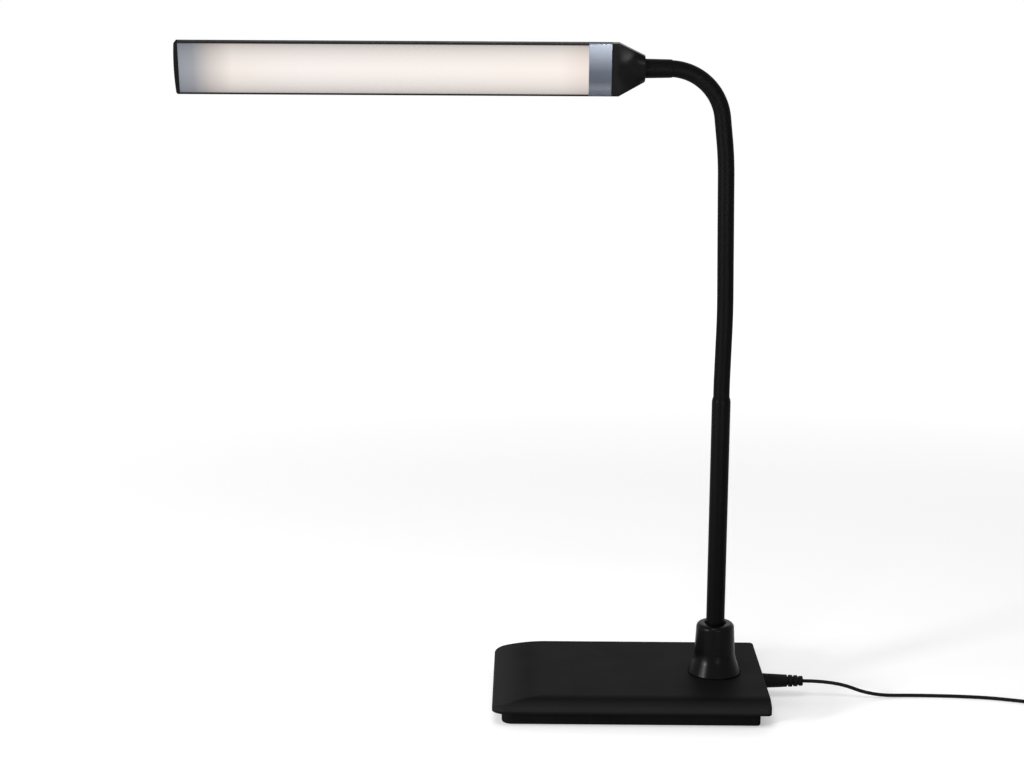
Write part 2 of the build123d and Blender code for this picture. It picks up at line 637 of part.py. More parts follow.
def make_stem_tube():
    """Steel tube with a threaded spigot below and a socket for the neck above."""
    socket = NECK_RADIUS + SOCKET_CLEARANCE
    socket_bottom = STEM_TOP - SLEEVE_SOCKET
    bore_start = HUB_LEDGE + 2.0
    lip_start = (STEM_RADIUS, 0, STEM_TOP - STEM_LIP)
    lip_end = (socket + 0.12, 0, STEM_TOP)
    edges = [
        Polyline(lip_end, (socket, 0, STEM_TOP), (socket, 0, socket_bottom), (STEM_BORE, 0, socket_bottom),
                 (STEM_BORE, 0, bore_start), (SPIGOT_BORE, 0, bore_start), (SPIGOT_BORE, 0, SPIGOT_BOTTOM),
                 (SPIGOT_RADIUS - 0.5, 0, SPIGOT_BOTTOM), (SPIGOT_RADIUS, 0, SPIGOT_BOTTOM + 0.5),
                 (SPIGOT_RADIUS, 0, HUB_LEDGE), (STEM_RADIUS, 0, HUB_LEDGE), lip_start),
        TangentArc(lip_start, lip_end, tangent=(0, 0, 1)),
    ]
    return Pos(STEM_X, 0, 0) * turned_edges(edges)


def make_stem_washer():
    """Washer under the cover's roof."""
    ring = post(WASHER_RADIUS, STEM_X, 0, NUT_TOP, ROOF)
    return ring - post(SPIGOT_RADIUS + FIT, STEM_X, 0, NUT_TOP, ROOF)


def make_stem_nut():
    """Hexagon nut that pulls stem, hub and cover together."""
    nut = extrude(RegularPolygon(NUT_ACROSS_FLATS / 2, 6, major_radius=False), NUT_HEIGHT)
    crown = turned([
        (0, 0), (NUT_ACROSS_FLATS / 2, 0), (NUT_ACROSS_FLATS / 2 + 1.2, 0.8),
        (NUT_ACROSS_FLATS / 2 + 1.2, NUT_HEIGHT), (0, NUT_HEIGHT),
    ])
    nut = (nut & crown) - post(SPIGOT_RADIUS, 0, 0, 0, NUT_HEIGHT)
    return Pos(STEM_X, 0, NUT_TOP - NUT_HEIGHT) * nut


# ---- neck ----------------------------------------------------------------------------------
def neck_corners():
    """Corners of the neck's centre line above the stem."""
    return [
        (STEM_X, 0, STEM_TOP + FIRST_JOINT + LEAN_START),
        (STEM_X + NECK_LEAN[0], 0, STEM_TOP + NECK_LEAN[1]),
        (STEM_X + NECK_RETURN[0], 0, HEAD_AXIS_HEIGHT - NECK_RETURN[1]),
        (STEM_X + NECK_CORNER_OFFSET, 0, HEAD_AXIS_HEIGHT),
    ]


def neck_line(start, end_x):
    """The neck's centre line between a height on the stem's axis and a place in the ferrule."""
    corners = [(STEM_X, 0, start)] + neck_corners() + [(end_x, 0, HEAD_AXIS_HEIGHT)]
    return FilletPolyline(corners, radius=[LEAN_RADIUS / 2, LEAN_RADIUS, RETURN_RADIUS, NECK_BEND_RADIUS])


def neck_path():
    """Centre line of the sleeve, from the bottom of the stem's socket to the ferrule's."""
    return neck_line(STEM_TOP - SLEEVE_SOCKET, FERRULE_TIP - FERRULE_SOCKET_DEPTH)


def on_path(path, distance):
    """The point a given distance along a path."""
    return path.position_at(distance, position_mode=PositionMode.LENGTH)


def neck_joints():
    """Ball centres from the stem to the ferrule, wider apart below than in the bend."""
    path = neck_path()
    first = SLEEVE_SOCKET + FIRST_JOINT
    last = path.length - FERRULE_SOCKET_DEPTH - LAST_JOINT_BEFORE_TIP
    bend_start = last - UPPER_LINKS * UPPER_SPACING
    step = (bend_start - first) / LOWER_LINKS
    distances = [first + index * step for index in range(LOWER_LINKS)]
    distances += [bend_start + index * UPPER_SPACING for index in range(UPPER_LINKS + 1)]
    return [on_path(path, distance) for distance in distances]


def ball_edges(shoulder_radius, height, below):
    """Edges of a ball on its neck: below lists the corners from the bore round to the shoulder."""
    neck_height = height - math.sqrt(BALL_RADIUS ** 2 - BALL_NECK_RADIUS ** 2)
    tip_height = height + math.sqrt(BALL_RADIUS ** 2 - WIRE_BORE ** 2)
    shoulder = height - SHOULDER_DROP
    neck = (BALL_NECK_RADIUS, 0, neck_height)
    tip = (WIRE_BORE, 0, tip_height)
    corners = [(radius, 0, place) for radius, place in below]
    corners += [(shoulder_radius, 0, shoulder), (BALL_NECK_RADIUS, 0, shoulder), neck]
    return [Polyline(corners), ThreePointArc(neck, (BALL_RADIUS, 0, height), tip), Line(tip, corners[0])]


def grooves(bottom, top):
    """Corners of the grooves turned in a link between two heights."""
    count = max(1, round((top - bottom) / RIB_PITCH))
    pitch = (top - bottom) / count
    corners = []
    for index in range(1, count):
        middle = bottom + index * pitch
        corners += [(LINK_RADIUS, middle - RIB_DEPTH), (LINK_RADIUS - RIB_DEPTH, middle)]
        corners.append((LINK_RADIUS, middle + RIB_DEPTH))
    return corners


def make_neck_link(start, end):
    """One link of the neck's steel core: a cup below, a grooved body and a ball above."""
    length = (end - start).length
    cavity = BALL_RADIUS + BALL_CLEARANCE
    rim = (math.sqrt(cavity ** 2 - CUP_DEPTH ** 2), 0, -CUP_DEPTH)
    crown = (WIRE_BORE, 0, math.sqrt(cavity ** 2 - WIRE_BORE ** 2))
    middle = (cavity * math.cos(math.radians(20)), 0, cavity * math.sin(math.radians(20)))
    body = [(LINK_RADIUS, -CUP_DEPTH)] + grooves(-CUP_DEPTH, length - SHOULDER_DROP)
    edges = ball_edges(LINK_RADIUS, length, body)
    edges[-1] = Line((WIRE_BORE, 0, length + math.sqrt(BALL_RADIUS ** 2 - WIRE_BORE ** 2)), crown)
    edges += [ThreePointArc(crown, middle, rim), Line(rim, (LINK_RADIUS, 0, -CUP_DEPTH))]
    place = Plane(origin=start, x_dir=(0, 1, 0), z_dir=end - start)
    return place * turned_edges(edges)


def make_neck_root():
    """Plug fixed in the stem's upper end, with the first ball on top."""
    joint = neck_joints()[0]
    socket_bottom = STEM_TOP - SLEEVE_SOCKET
    plug_bottom = socket_bottom - 10.0
    waist = SLEEVE_BORE - FIT
    below = [
        (WIRE_BORE, plug_bottom), (STEM_BORE - 0.5, plug_bottom), (STEM_BORE, plug_bottom + 0.5),
        (STEM_BORE, socket_bottom), (waist, socket_bottom),
    ]
    return Pos(joint.X, 0, 0) * turned_edges(ball_edges(waist, joint.Z, below))


def make_neck_sleeve():
    """Smooth rubber sleeve over the whole neck."""
    return tube_along(neck_path(), NECK_RADIUS, SLEEVE_BORE)


def make_neck_ferrule():
    """Upper ferrule: sleeve socket, last cup and the hollow spigot that the head turns on."""
    tip_to_shoulder = FERRULE_TIP - FERRULE_SHOULDER
    tip_to_end = FERRULE_TIP - SPIGOT_END
    socket = NECK_RADIUS + FERRULE_CLEARANCE
    groove = FERRULE_TIP - CLIP_START
    groove_radius = SWIVEL_RADIUS - CLIP_GROOVE_DEPTH
    wide_bore = FERRULE_SOCKET_DEPTH + 4.0
    body = turned([
        (WIRE_BORE, FERRULE_SOCKET_DEPTH), (socket, FERRULE_SOCKET_DEPTH), (socket, 0),
        (FERRULE_TIP_RADIUS, 0), (FERRULE_SHOULDER_RADIUS, FERRULE_CHAMFER),
        (FERRULE_END_RADIUS, tip_to_shoulder), (SWIVEL_RADIUS, tip_to_shoulder),
        (SWIVEL_RADIUS, groove), (groove_radius, groove), (groove_radius, groove + CLIP_THICKNESS),
        (SWIVEL_RADIUS, groove + CLIP_THICKNESS), (SWIVEL_RADIUS, tip_to_end - 0.4),
        (SWIVEL_RADIUS - 0.4, tip_to_end), (SWIVEL_BORE, tip_to_end), (SWIVEL_BORE, wide_bore),
        (WIRE_BORE, wide_bore),
    ])
    body = along_x(FERRULE_TIP, -1, z=HEAD_AXIS_HEIGHT) * body
    joint = neck_joints()[-1]
    cup_end = FERRULE_TIP - FERRULE_SOCKET_DEPTH - 0.5
    cup = bar(LINK_RADIUS, (cup_end, joint.X + CUP_DEPTH), z=joint.Z)
    bore = bar(WIRE_BORE, (cup_end - 1.0, joint.X + CUP_DEPTH), z=HEAD_AXIS_HEIGHT)
    return body + cup - Pos(joint) * Sphere(BALL_RADIUS + BALL_CLEARANCE) - bore


# ---- cables inside the lamp ------------------------------------------------------------------
def make_base_cable():
    """Two-core cable from the jack through the stem to the foot of the neck."""
    joint = neck_joints()[0]
    drop_x = JACK_BACK - CRADLE_WALL - 4.0
    low = FLOOR_TOP + 2.5
    exit_height = TRAY_TOP + CABLE_RADIUS + 0.8
    corners = [
        (JACK_BACK, 0, exit_height), (drop_x, 0, exit_height), (drop_x, 0, low),
        (STEM_X, 0, low), (STEM_X, 0, joint.Z),
    ]
    path = FilletPolyline(corners, radius=[1.8, 2.4, 2.4])
    return tube_along(path, CABLE_RADIUS)


def make_neck_cable():
    """The same cable inside the flexible neck."""
    return tube_along(neck_line(neck_joints()[0].Z, SPIGOT_END), CABLE_RADIUS)


# ---- head, built level with its face towards -Y and then tilted ----------------------------------
def head_place():
    """The head's place: its axis height and the tilt of its face."""
    return Pos(0, 0, HEAD_AXIS_HEIGHT) * Rot(HEAD_TILT, 0, 0)


def crown_meets(inset):
    """Y where the crowned back meets a flank, for a section inset by a wall."""
    centre = CROWN_TOP - CROWN_RADIUS
    return centre + math.sqrt((CROWN_RADIUS - inset) ** 2 - (HALF_WIDTH - inset) ** 2)


def head_outline(inset=0.0):
    """Edges of the head's cross-section: flat face, flanks and crowned back, with round corners."""
    front = HEAD_FRONT + inset
    half = HALF_WIDTH - inset
    meets = crown_meets(inset)
    edges = [
        Polyline((meets, half), (front, half), (front, -half), (meets, -half)),
        ThreePointArc((meets, -half), (CROWN_TOP - inset, 0), (meets, half)),
    ]
    face = make_face(Curve() + edges)
    back = [vertex for vertex in face.vertices() if vertex.X > front + 0.1]
    face = fillet(back, max(HEAD_BACK_ROUND - inset, 0.4))
    front_corners = [vertex for vertex in face.vertices() if vertex.X < front + 0.1]
    return fillet(front_corners, max(HEAD_EDGE_ROUND - inset, 0.3))


def head_prism(x_range, inset=0.0):
    """The head's cross-section between two places along X."""
    length = x_range[1] - x_range[0]
    return extrude(along_section(x_range[0]) * head_outline(inset), length)


def along_section(x):
    """The YZ plane at x, with local x along Y and local y along Z."""
    return Plane(origin=(x, 0, 0), x_dir=(0, 1, 0), z_dir=(1, 0, 0))


def make_head_housing():
    """Long moulded channel with grooves for the diffuser and a bridge under the trim band."""
    housing = head_prism((HOUSING_LEFT, COLLAR_LEFT))
    beyond = (HOUSING_LEFT - 1, COLLAR_LEFT + 1)
    cavity = head_prism(beyond, HEAD_WALL) & block(beyond, (CAVITY_FRONT, CROWN_TOP), (-HALF_WIDTH, HALF_WIDTH))
    housing -= cavity
    pocket = HALF_WIDTH - HEAD_WALL
    throat = pocket - LEDGE_WIDTH
    opening = (HOUSING_LEFT - 1, BAND_LEFT)
    housing -= block(opening, (HEAD_FRONT - 1, POCKET_DEPTH), (-pocket, pocket))
    housing -= block(opening, (HEAD_FRONT, CAVITY_FRONT), (-throat, throat))
    band_seat = (HEAD_FRONT - 1, HEAD_FRONT + BAND_THICKNESS)
    housing -= block((BAND_LEFT, COLLAR_LEFT + 1), band_seat, (-HALF_WIDTH, HALF_WIDTH))
    boss_radius = BUTTON_RADIUS + BUTTON_CLEARANCE + BUTTON_BOSS_WALL
    boss = cross_bar(boss_radius, (button_seat(), CROWN_TOP - HEAD_WALL / 2), BUTTON_X, 0)
    housing += boss & head_prism((HOUSING_LEFT, COLLAR_LEFT))
    housing -= cross_bar(BUTTON_RADIUS + BUTTON_CLEARANCE, (0, CROWN_TOP + 1), BUTTON_X, 0)
    for z in head_screw_heights():
        housing -= cross_bar(HEAD_SCREW_RADIUS, (0, CROWN_TOP + 1), head_screw_x(), z)
        housing -= cross_bar(HEAD_SCREW_HEAD, (screw_seat(), CROWN_TOP + 1), head_screw_x(), z)
    return housing


def cross_bar(radius, y_range, x, z):
    """A cylinder along Y in the head's own frame."""
    place = Plane(origin=(x, y_range[0], z), x_dir=(1, 0, 0), z_dir=(0, 1, 0))
    return place * Cylinder(radius, y_range[1] - y_range[0], align=(Align.CENTER, Align.CENTER, Align.MIN))


def button_seat():
    """Y of the flat seat that the button's flange rests under."""
    reach = BUTTON_RADIUS + BUTTON_FLANGE_REACH + BUTTON_CLEARANCE
    inner = CROWN_RADIUS - HEAD_WALL
    return CROWN_TOP - CROWN_RADIUS + math.sqrt(inner ** 2 - reach ** 2) - 0.1


def head_screw_x():
    """X of the two screws that hold the collar's tongue."""
    return COLLAR_LEFT - COLLAR_TONGUE / 2


def head_screw_heights():
    """Local heights of the two screws."""
    return (-HEAD_SCREW_SPACING / 2, HEAD_SCREW_SPACING / 2)


def screw_seat():
    """Y where a collar screw's head bears, half way through the wall."""
    drop = CROWN_RADIUS - math.sqrt(CROWN_RADIUS ** 2 - (HEAD_SCREW_SPACING / 2) ** 2)
    return CROWN_TOP - drop - HEAD_WALL / 2 - 0.2


def make_trim_band():
    """Aluminium plate across the face beside the collar."""
    plate = head_prism((BAND_LEFT, COLLAR_LEFT))
    return plate & block((BAND_LEFT, COLLAR_LEFT), (HEAD_FRONT, HEAD_FRONT + BAND_THICKNESS), (-HALF_WIDTH, HALF_WIDTH))


def make_end_cap():
    """Cap on the free end, gently bowed, with a spigot in the housing."""
    half = HALF_WIDTH
    inner = (HOUSING_LEFT, half)
    sagitta = END_CAP_BULGE - math.sqrt(END_CAP_BULGE ** 2 - half ** 2)
    edges = [
        Polyline((HEAD_LEFT + sagitta, half), inner, (HOUSING_LEFT, -half), (HEAD_LEFT + sagitta, -half)),
        ThreePointArc((HEAD_LEFT + sagitta, -half), (HEAD_LEFT, 0), (HEAD_LEFT + sagitta, half)),
    ]
    face = make_face(Curve() + edges)
    outer = [vertex for vertex in face.vertices() if vertex.X < HOUSING_LEFT - 0.1]
    face = fillet(outer, min(END_CAP_CORNER, END_CAP_LENGTH * 0.6))
    depth = CROWN_TOP - HEAD_FRONT
    plate = extrude(Plane(origin=(0, HEAD_FRONT + depth, 0), x_dir=(1, 0, 0), z_dir=(0, -1, 0)) * face, depth)
    cap = plate & head_prism((HEAD_LEFT, HOUSING_LEFT))
    spigot_range = (HOUSING_LEFT, HOUSING_LEFT + END_CAP_SPIGOT)
    spigot = head_prism(spigot_range, HEAD_WALL + FIT / 2) - head_prism(spigot_range, HEAD_WALL + TONGUE_WALL)
    keep = block(spigot_range, (CAVITY_FRONT + 0.1, CROWN_TOP), (-half, half))
    return cap + (spigot & keep)


def make_diffuser():
    """Opal panel in the face."""
    half = HALF_WIDTH - HEAD_WALL - DIFFUSER_CLEARANCE
    front = HEAD_FRONT + DIFFUSER_RECESS
    return block((HOUSING_LEFT, BAND_LEFT - DIFFUSER_CLEARANCE), (front, POCKET_DEPTH), (-half, half))


def make_reflector():
    """White trough between the LED board and the diffuser, with a slot for the LEDs."""
    rim = HALF_WIDTH - HEAD_WALL - FIT
    floor = REFLECTOR_FLOOR_WIDTH / 2
    low = LED_BOARD_FRONT
    high = CAVITY_FRONT
    wall = REFLECTOR_WALL
    corners = [
        (high, rim), (low, floor), (low, -floor), (high, -rim),
        (high, -rim + 1.3 * wall), (low - wall, -floor + wall), (low - wall, floor - wall), (high, rim - 1.3 * wall),
    ]
    start = HOUSING_LEFT + END_CAP_SPIGOT + FIT
    end = BAND_LEFT - FIT
    trough = extrude(along_section(start) * make_face(Polyline(corners, close=True)), end - start)
    slot = REFLECTOR_SLOT / 2
    slot_range = (start + REFLECTOR_END, end - REFLECTOR_END)
    return trough - block(slot_range, (low - wall - 0.1, low + 0.1), (-slot, slot))


def led_board_range():
    """X limits of the LED board."""
    return HOUSING_LEFT + END_CAP_SPIGOT + FIT, BAND_LEFT + LED_BOARD_OVERLAP


def make_led_board():
    """Aluminium-core board that carries the LEDs."""
    half = LED_BOARD_WIDTH / 2
    back = LED_BOARD_FRONT + LED_BOARD_THICKNESS
    return block(led_board_range(), (LED_BOARD_FRONT, back), (-half, half))


def make_leds():
    """The row of LED packages."""
    first = led_board_range()[0] + LED_FIRST_INSET
    last = BAND_LEFT - LED_LAST_INSET
    pitch = (last - first) / (LED_COUNT - 1)
    depth = (LED_BOARD_FRONT - LED_HEIGHT, LED_BOARD_FRONT)
    leds = []
    for index in range(LED_COUNT):
        x = first + index * pitch
        leds.append(block((x - LED_LENGTH / 2, x + LED_LENGTH / 2), depth, (-LED_WIDTH / 2, LED_WIDTH / 2)))
    return leds


def driver_range():
    """X limits of the driver board."""
    start = BAND_LEFT + FIT
    return start, start + DRIVER_LENGTH


def make_driver_board():
    """Driver board on the bridge, with its coil and two capacitors."""
    half = DRIVER_WIDTH / 2
    start, end = driver_range()
    board = block((start, end), (CAVITY_FRONT, DRIVER_TOP), (-half, half))
    x = COLLAR_LEFT + 1.0
    board += cross_bar(2.0, (DRIVER_TOP, DRIVER_TOP + 1.8), x, half - 3.2)
    board += block((x - 1.5, x + 1.5), (DRIVER_TOP, DRIVER_TOP + 1.4), (-half + 2, -half + 5))
    return board


def make_board_link():
    """Two pins that join the driver board to the LED board."""
    x = BAND_LEFT + (LED_BOARD_OVERLAP + FIT) / 2
    limits = (DRIVER_TOP, LED_BOARD_FRONT)
    return [cross_bar(LINK_PIN_RADIUS, limits, x, side * LINK_PIN_SPACING / 2) for side in (-1, 1)]


def make_tact_switch():
    """Push switch on the driver board, under the button."""
    half = SWITCH_SIZE / 2
    body = block((BUTTON_X - half, BUTTON_X + half), (DRIVER_TOP, SWITCH_TOP), (-half, half))
    body = chamfer(body.edges().filter_by(Axis.Y), 0.5)
    return body - cross_bar(PLUNGER_RADIUS + PLUNGER_CLEARANCE, (SWITCH_TOP - SWITCH_CAVITY, SWITCH_TOP), BUTTON_X, 0)


def make_switch_plunger():
    """Plunger that the button pushes into the switch."""
    bottom = SWITCH_TOP - SWITCH_CAVITY + BUTTON_TRAVEL + 0.2
    return cross_bar(PLUNGER_RADIUS, (bottom, button_underside()), BUTTON_X, 0)


def button_underside():
    """Y of the underside of the button's flange."""
    return button_seat() - BUTTON_PLAY - BUTTON_FLANGE_THICKNESS


def make_power_button():
    """Round push button in the back of the head, with a flange under the wall."""
    underside = button_underside()
    top = CROWN_TOP + BUTTON_PROUD - underside
    edge = top - BUTTON_DOME
    flange = BUTTON_RADIUS + BUTTON_FLANGE_REACH
    rim = (BUTTON_RADIUS, 0, edge)
    edges = [
        Polyline(rim, (BUTTON_RADIUS, 0, BUTTON_FLANGE_THICKNESS), (flange, 0, BUTTON_FLANGE_THICKNESS),
                 (flange, 0, 0), (0, 0, 0), (0, 0, top)),
        TangentArc((0, 0, top), rim, tangent=(1, 0, 0)),
    ]
    button = turned_edges(edges)
    return Plane(origin=(BUTTON_X, underside, 0), x_dir=(1, 0, 0), z_dir=(0, 1, 0)) * button


def make_head_collar():
    """Black collar that tapers from the head's section to the swivel."""
    taper_start = COLLAR_LEFT + COLLAR_STRAIGHT
    collar = head_prism((COLLAR_LEFT, taper_start)) + collar_taper(taper_start, 0.0)
    chamber_end = BUSH_END - COLLAR_CHAMBER_LENGTH
    collar -= bar(BUSH_RADIUS, (BUSH_END - 1, COLLAR_RIGHT + 1))
    collar -= bar(BUSH_FLANGE_RADIUS, (COLLAR_RIGHT - BUSH_FLANGE, COLLAR_RIGHT + 1))
    collar -= bar(COLLAR_CHAMBER_RADIUS, (chamber_end - 1, BUSH_END))
    collar -= head_prism((COLLAR_LEFT - 1, taper_start), COLLAR_WALL)
    depth = block((taper_start, chamber_end), (-HALF_WIDTH, HALF_WIDTH), (-HALF_WIDTH, HALF_WIDTH))
    collar -= collar_taper(taper_start, COLLAR_WALL) & depth
    tongue_range = (COLLAR_LEFT - COLLAR_TONGUE, COLLAR_LEFT + COLLAR_WALL)
    outer = HEAD_WALL + FIT / 2
    tongue = head_prism(tongue_range, outer) - head_prism(tongue_range, outer + TONGUE_WALL)
    tongue &= block(tongue_range, (0.5, CROWN_TOP), (-HALF_WIDTH, HALF_WIDTH))
    boss_gap = BUTTON_RADIUS + BUTTON_CLEARANCE + BUTTON_BOSS_WALL + FIT
    tongue -= cross_bar(boss_gap, (0, CROWN_TOP), BUTTON_X, 0)
    for z in head_screw_heights():
        tongue -= cross_bar(HEAD_SCREW_RADIUS, (0, CROWN_TOP), head_screw_x(), z)
    return collar + tongue + stop_rib()


def collar_taper(start, inset):
    """Ruled taper from the head's section to the round end."""
    section = along_section(start) * head_outline(inset)
    end = along_section(COLLAR_RIGHT) * matching_circle(head_outline(inset), COLLAR_SMALL_RADIUS - inset)
    return loft([section.face(), end.face()], ruled=True)


def matching_circle(outline, radius):
    """A disc whose rim is cut into one arc for each edge of an outline, at the same bearings."""
    arcs = []
    for edge in outline.face().outer_wire().edges():
        ends = [direction(edge @ place) for place in (0, 0.5, 1)]
        arcs.append(ThreePointArc(*[end * radius for end in ends]))
    return make_face(Curve() + arcs)


def direction(point):
    """Unit vector from the section's middle towards a point."""
    return Vector(point.X, point.Y, 0).normalized()


def stop_rib():
    """Rib in the collar's chamber that the stop washer's tab meets at both limits."""
    half_tab = math.degrees(math.atan2(STOP_TAB_WIDTH / 2, STOP_RADIUS))
    first = half_tab + STOP_MARGIN - SWIVEL_MINIMUM
    last = 360 - SWIVEL_MAXIMUM - half_tab - STOP_MARGIN
    inner = STOP_RADIUS + FIT
    outer = COLLAR_CHAMBER_RADIUS + COLLAR_WALL / 4
    wedge = [tuple(Vector(0, 0))]
    steps = 6
    for index in range(steps + 1):
        angle = math.radians(first + (last - first) * index / steps)
        wedge.append((2 * outer * math.cos(angle), 2 * outer * math.sin(angle)))
    length = STOP_THICKNESS + 2 * SWIVEL_CLEARANCE
    sector = extrude(make_face(Polyline(wedge, close=True)), length)
    ring = post(outer, 0, 0, 0, length) - post(inner, 0, 0, 0, length)
    return stop_plane() * (ring & sector)


def stop_plane():
    """Plane at the rib's inner side; the stop washer's tab points along its local x."""
    start = STOP_START - STOP_THICKNESS - SWIVEL_CLEARANCE
    return Plane(origin=(start, 0, 0), x_dir=(0, 1, 0), z_dir=(1, 0, 0))


def make_swivel_bush():
    """Acetal bush in the collar's end."""
    bush = bar(BUSH_RADIUS, (BUSH_END, COLLAR_RIGHT))
    bush += bar(BUSH_FLANGE_RADIUS, (COLLAR_RIGHT - BUSH_FLANGE, COLLAR_RIGHT))
    return bush - bar(SWIVEL_RADIUS + SWIVEL_CLEARANCE, (BUSH_END, COLLAR_RIGHT))


def make_spring_washer():
    """Dished washer that keeps the swivel stiff."""
    inner = SWIVEL_RADIUS + SWIVEL_CLEARANCE
    outer = SPRING_WASHER_RADIUS
    height = SPRING_WASHER_THICKNESS
    washer = turned([
        (inner, 0), (inner + 0.35, 0), (outer, height * 0.4), (outer, height),
        (outer - 0.35, height), (inner, height * 0.6),
    ])
    return along_x(STOP_START, 1) * washer


def make_stop_washer():
    """Washer fixed on the spigot, with the tab that limits the head's turn."""
    plane = Plane(origin=(STOP_START - STOP_THICKNESS, 0, 0), x_dir=(0, 1, 0), z_dir=(1, 0, 0))
    reach = STOP_RADIUS + STOP_TAB_REACH
    tab = Pos(reach / 2, 0) * Rectangle(reach, STOP_TAB_WIDTH)
    outline = Circle(STOP_RADIUS) + tab - Circle(SWIVEL_RADIUS)
    return extrude(plane * outline, STOP_THICKNESS)


def make_retaining_clip():
    """Open clip in the spigot's groove."""
    outline = Circle(CLIP_RADIUS) - Circle(SWIVEL_RADIUS - CLIP_GROOVE_DEPTH)
    outline -= Pos(CLIP_RADIUS, 0) * Rectangle(2 * CLIP_RADIUS, CLIP_OPENING)
    plane = Plane(origin=(CLIP_START - CLIP_THICKNESS, 0, 0), x_dir=(0, 1, 0), z_dir=(1, 0, 0))
    return extrude(plane * outline, CLIP_THICKNESS)


def make_head_screws():
    """The two screws that hold the collar to the housing."""
    screws = []
    head_radius = HEAD_SCREW_HEAD - FIT / 2
    for z in head_screw_heights():
        screw = cross_bar(HEAD_SCREW_RADIUS, (screw_seat() - HEAD_SCREW_LENGTH, screw_seat()), head_screw_x(), z)
        screw += cross_bar(head_radius, (screw_seat(), screw_seat() + HEAD_WALL / 2), head_screw_x(), z)
        screws.append(screw)
    return screws


def make_head_leads():
    """Cable from the swivel to the driver board."""
    start = SPIGOT_END - SWIVEL_CLEARANCE
    landing = driver_range()[1] - 1.5
    path = FilletPolyline((start, 0, 0), (landing, 0, 0), (landing, DRIVER_TOP, 0), radius=[0.9])
    return tube_along(path, CABLE_RADIUS)


# ---- cord, coil and wall adapter ---------------------------------------------------------------
def make_power_cord():
    """The cord from the plug to the coil."""
    path = routed([(plug_end(), 0, INLET_HEIGHT)] + CORD_ROUTE, "power_cord")
    return tube_along(path, CORD_RADIUS)


def make_cord_coil():
    """The rest of the cord, wound up, as one ring."""
    section = RectangleRounded(COIL_SECTION_WIDTH, COIL_SECTION_HEIGHT, COIL_ROUND)
    middle = TIE_THICKNESS + COIL_SECTION_HEIGHT / 2
    ring = revolve(Plane.XZ * (Pos(COIL_MIDDLE_RADIUS, middle) * section), Axis.Z)
    return Pos(COIL_CENTRE[0], COIL_CENTRE[1], 0) * ring


def make_coil_tie():
    """Strap round the coil."""
    x = COIL_CENTRE[0] - COIL_MIDDLE_RADIUS
    reach = COIL_SECTION_WIDTH / 2 + TIE_THICKNESS
    y_limits = (COIL_CENTRE[1] - TIE_LENGTH / 2, COIL_CENTRE[1] + TIE_LENGTH / 2)
    top = COIL_SECTION_HEIGHT + 2 * TIE_THICKNESS
    strap = block((x - reach, x + reach), y_limits, (0, top))
    strap = fillet(strap.edges().filter_by(Axis.Y), COIL_ROUND)
    return strap - make_cord_coil()


def relief_end():
    """Where the lead enters the adapter's strain relief."""
    return ADAPTER_PLACE[0], ADAPTER_PLACE[1] + RELIEF_LENGTH, ADAPTER_HEIGHT / 2


def make_adapter_lead():
    """The cord from the coil to the wall adapter."""
    path = routed(ADAPTER_LEAD_ROUTE + [relief_end()], "adapter_lead")
    return tube_along(path, CORD_RADIUS)


def adapter_plane(y):
    """A plane at y whose normal points away from the adapter's blades."""
    return Plane(origin=(ADAPTER_PLACE[0], y, ADAPTER_HEIGHT / 2), x_dir=(1, 0, 0), z_dir=(0, 1, 0))


def make_adapter_relief():
    """Ribbed strain relief of the adapter's lead."""
    length = RELIEF_PLUG + RELIEF_LENGTH
    corners = [(0, 0), (RELIEF_ROOT_RADIUS - 0.6, 0), (RELIEF_ROOT_RADIUS - 0.6, RELIEF_PLUG)]
    corners.append((RELIEF_ROOT_RADIUS, RELIEF_PLUG))
    for share in (0.3, 0.6):
        place = RELIEF_PLUG + share * RELIEF_LENGTH
        radius = RELIEF_ROOT_RADIUS + share * (RELIEF_END_RADIUS - RELIEF_ROOT_RADIUS)
        corners += [(radius, place), (radius - 0.5, place), (radius - 0.5, place + 1.0), (radius - 0.1, place + 1.0)]
    corners += [(RELIEF_END_RADIUS, length), (0, length)]
    return adapter_plane(ADAPTER_PLACE[1] - RELIEF_PLUG) * turned(corners)


def make_wall_adapter():
    """Case of the wall adapter, in two halves joined at a seam."""
    x, front = ADAPTER_PLACE
    half = ADAPTER_WIDTH / 2
    case = block((x - half, x + half), (front - ADAPTER_LENGTH, front), (0, ADAPTER_HEIGHT))
    case = fillet(case.edges().filter_by(Axis.Y), ADAPTER_ROUND)
    case = fillet(case.edges().group_by(Axis.Y)[-1], ADAPTER_ROUND * 0.6)
    seam = front - ADAPTER_LENGTH / 4
    limits = (seam - ADAPTER_SEAM_WIDTH, seam)
    groove = block((x - half - 1, x + half + 1), limits, (-1, ADAPTER_HEIGHT + 1))
    inner = half - ADAPTER_SEAM_DEPTH
    core = block((x - inner, x + inner), limits, (ADAPTER_SEAM_DEPTH, ADAPTER_HEIGHT - ADAPTER_SEAM_DEPTH))
    core = fillet(core.edges().filter_by(Axis.Y), ADAPTER_ROUND - ADAPTER_SEAM_DEPTH)
    case = case - groove + (case & core)
    recess = Circle(RELIEF_ROOT_RADIUS - 0.6)
    case -= extrude(adapter_plane(front - RELIEF_PLUG) * recess, RELIEF_PLUG)
    for blade in make_adapter_blades():
        case -= blade
    return case


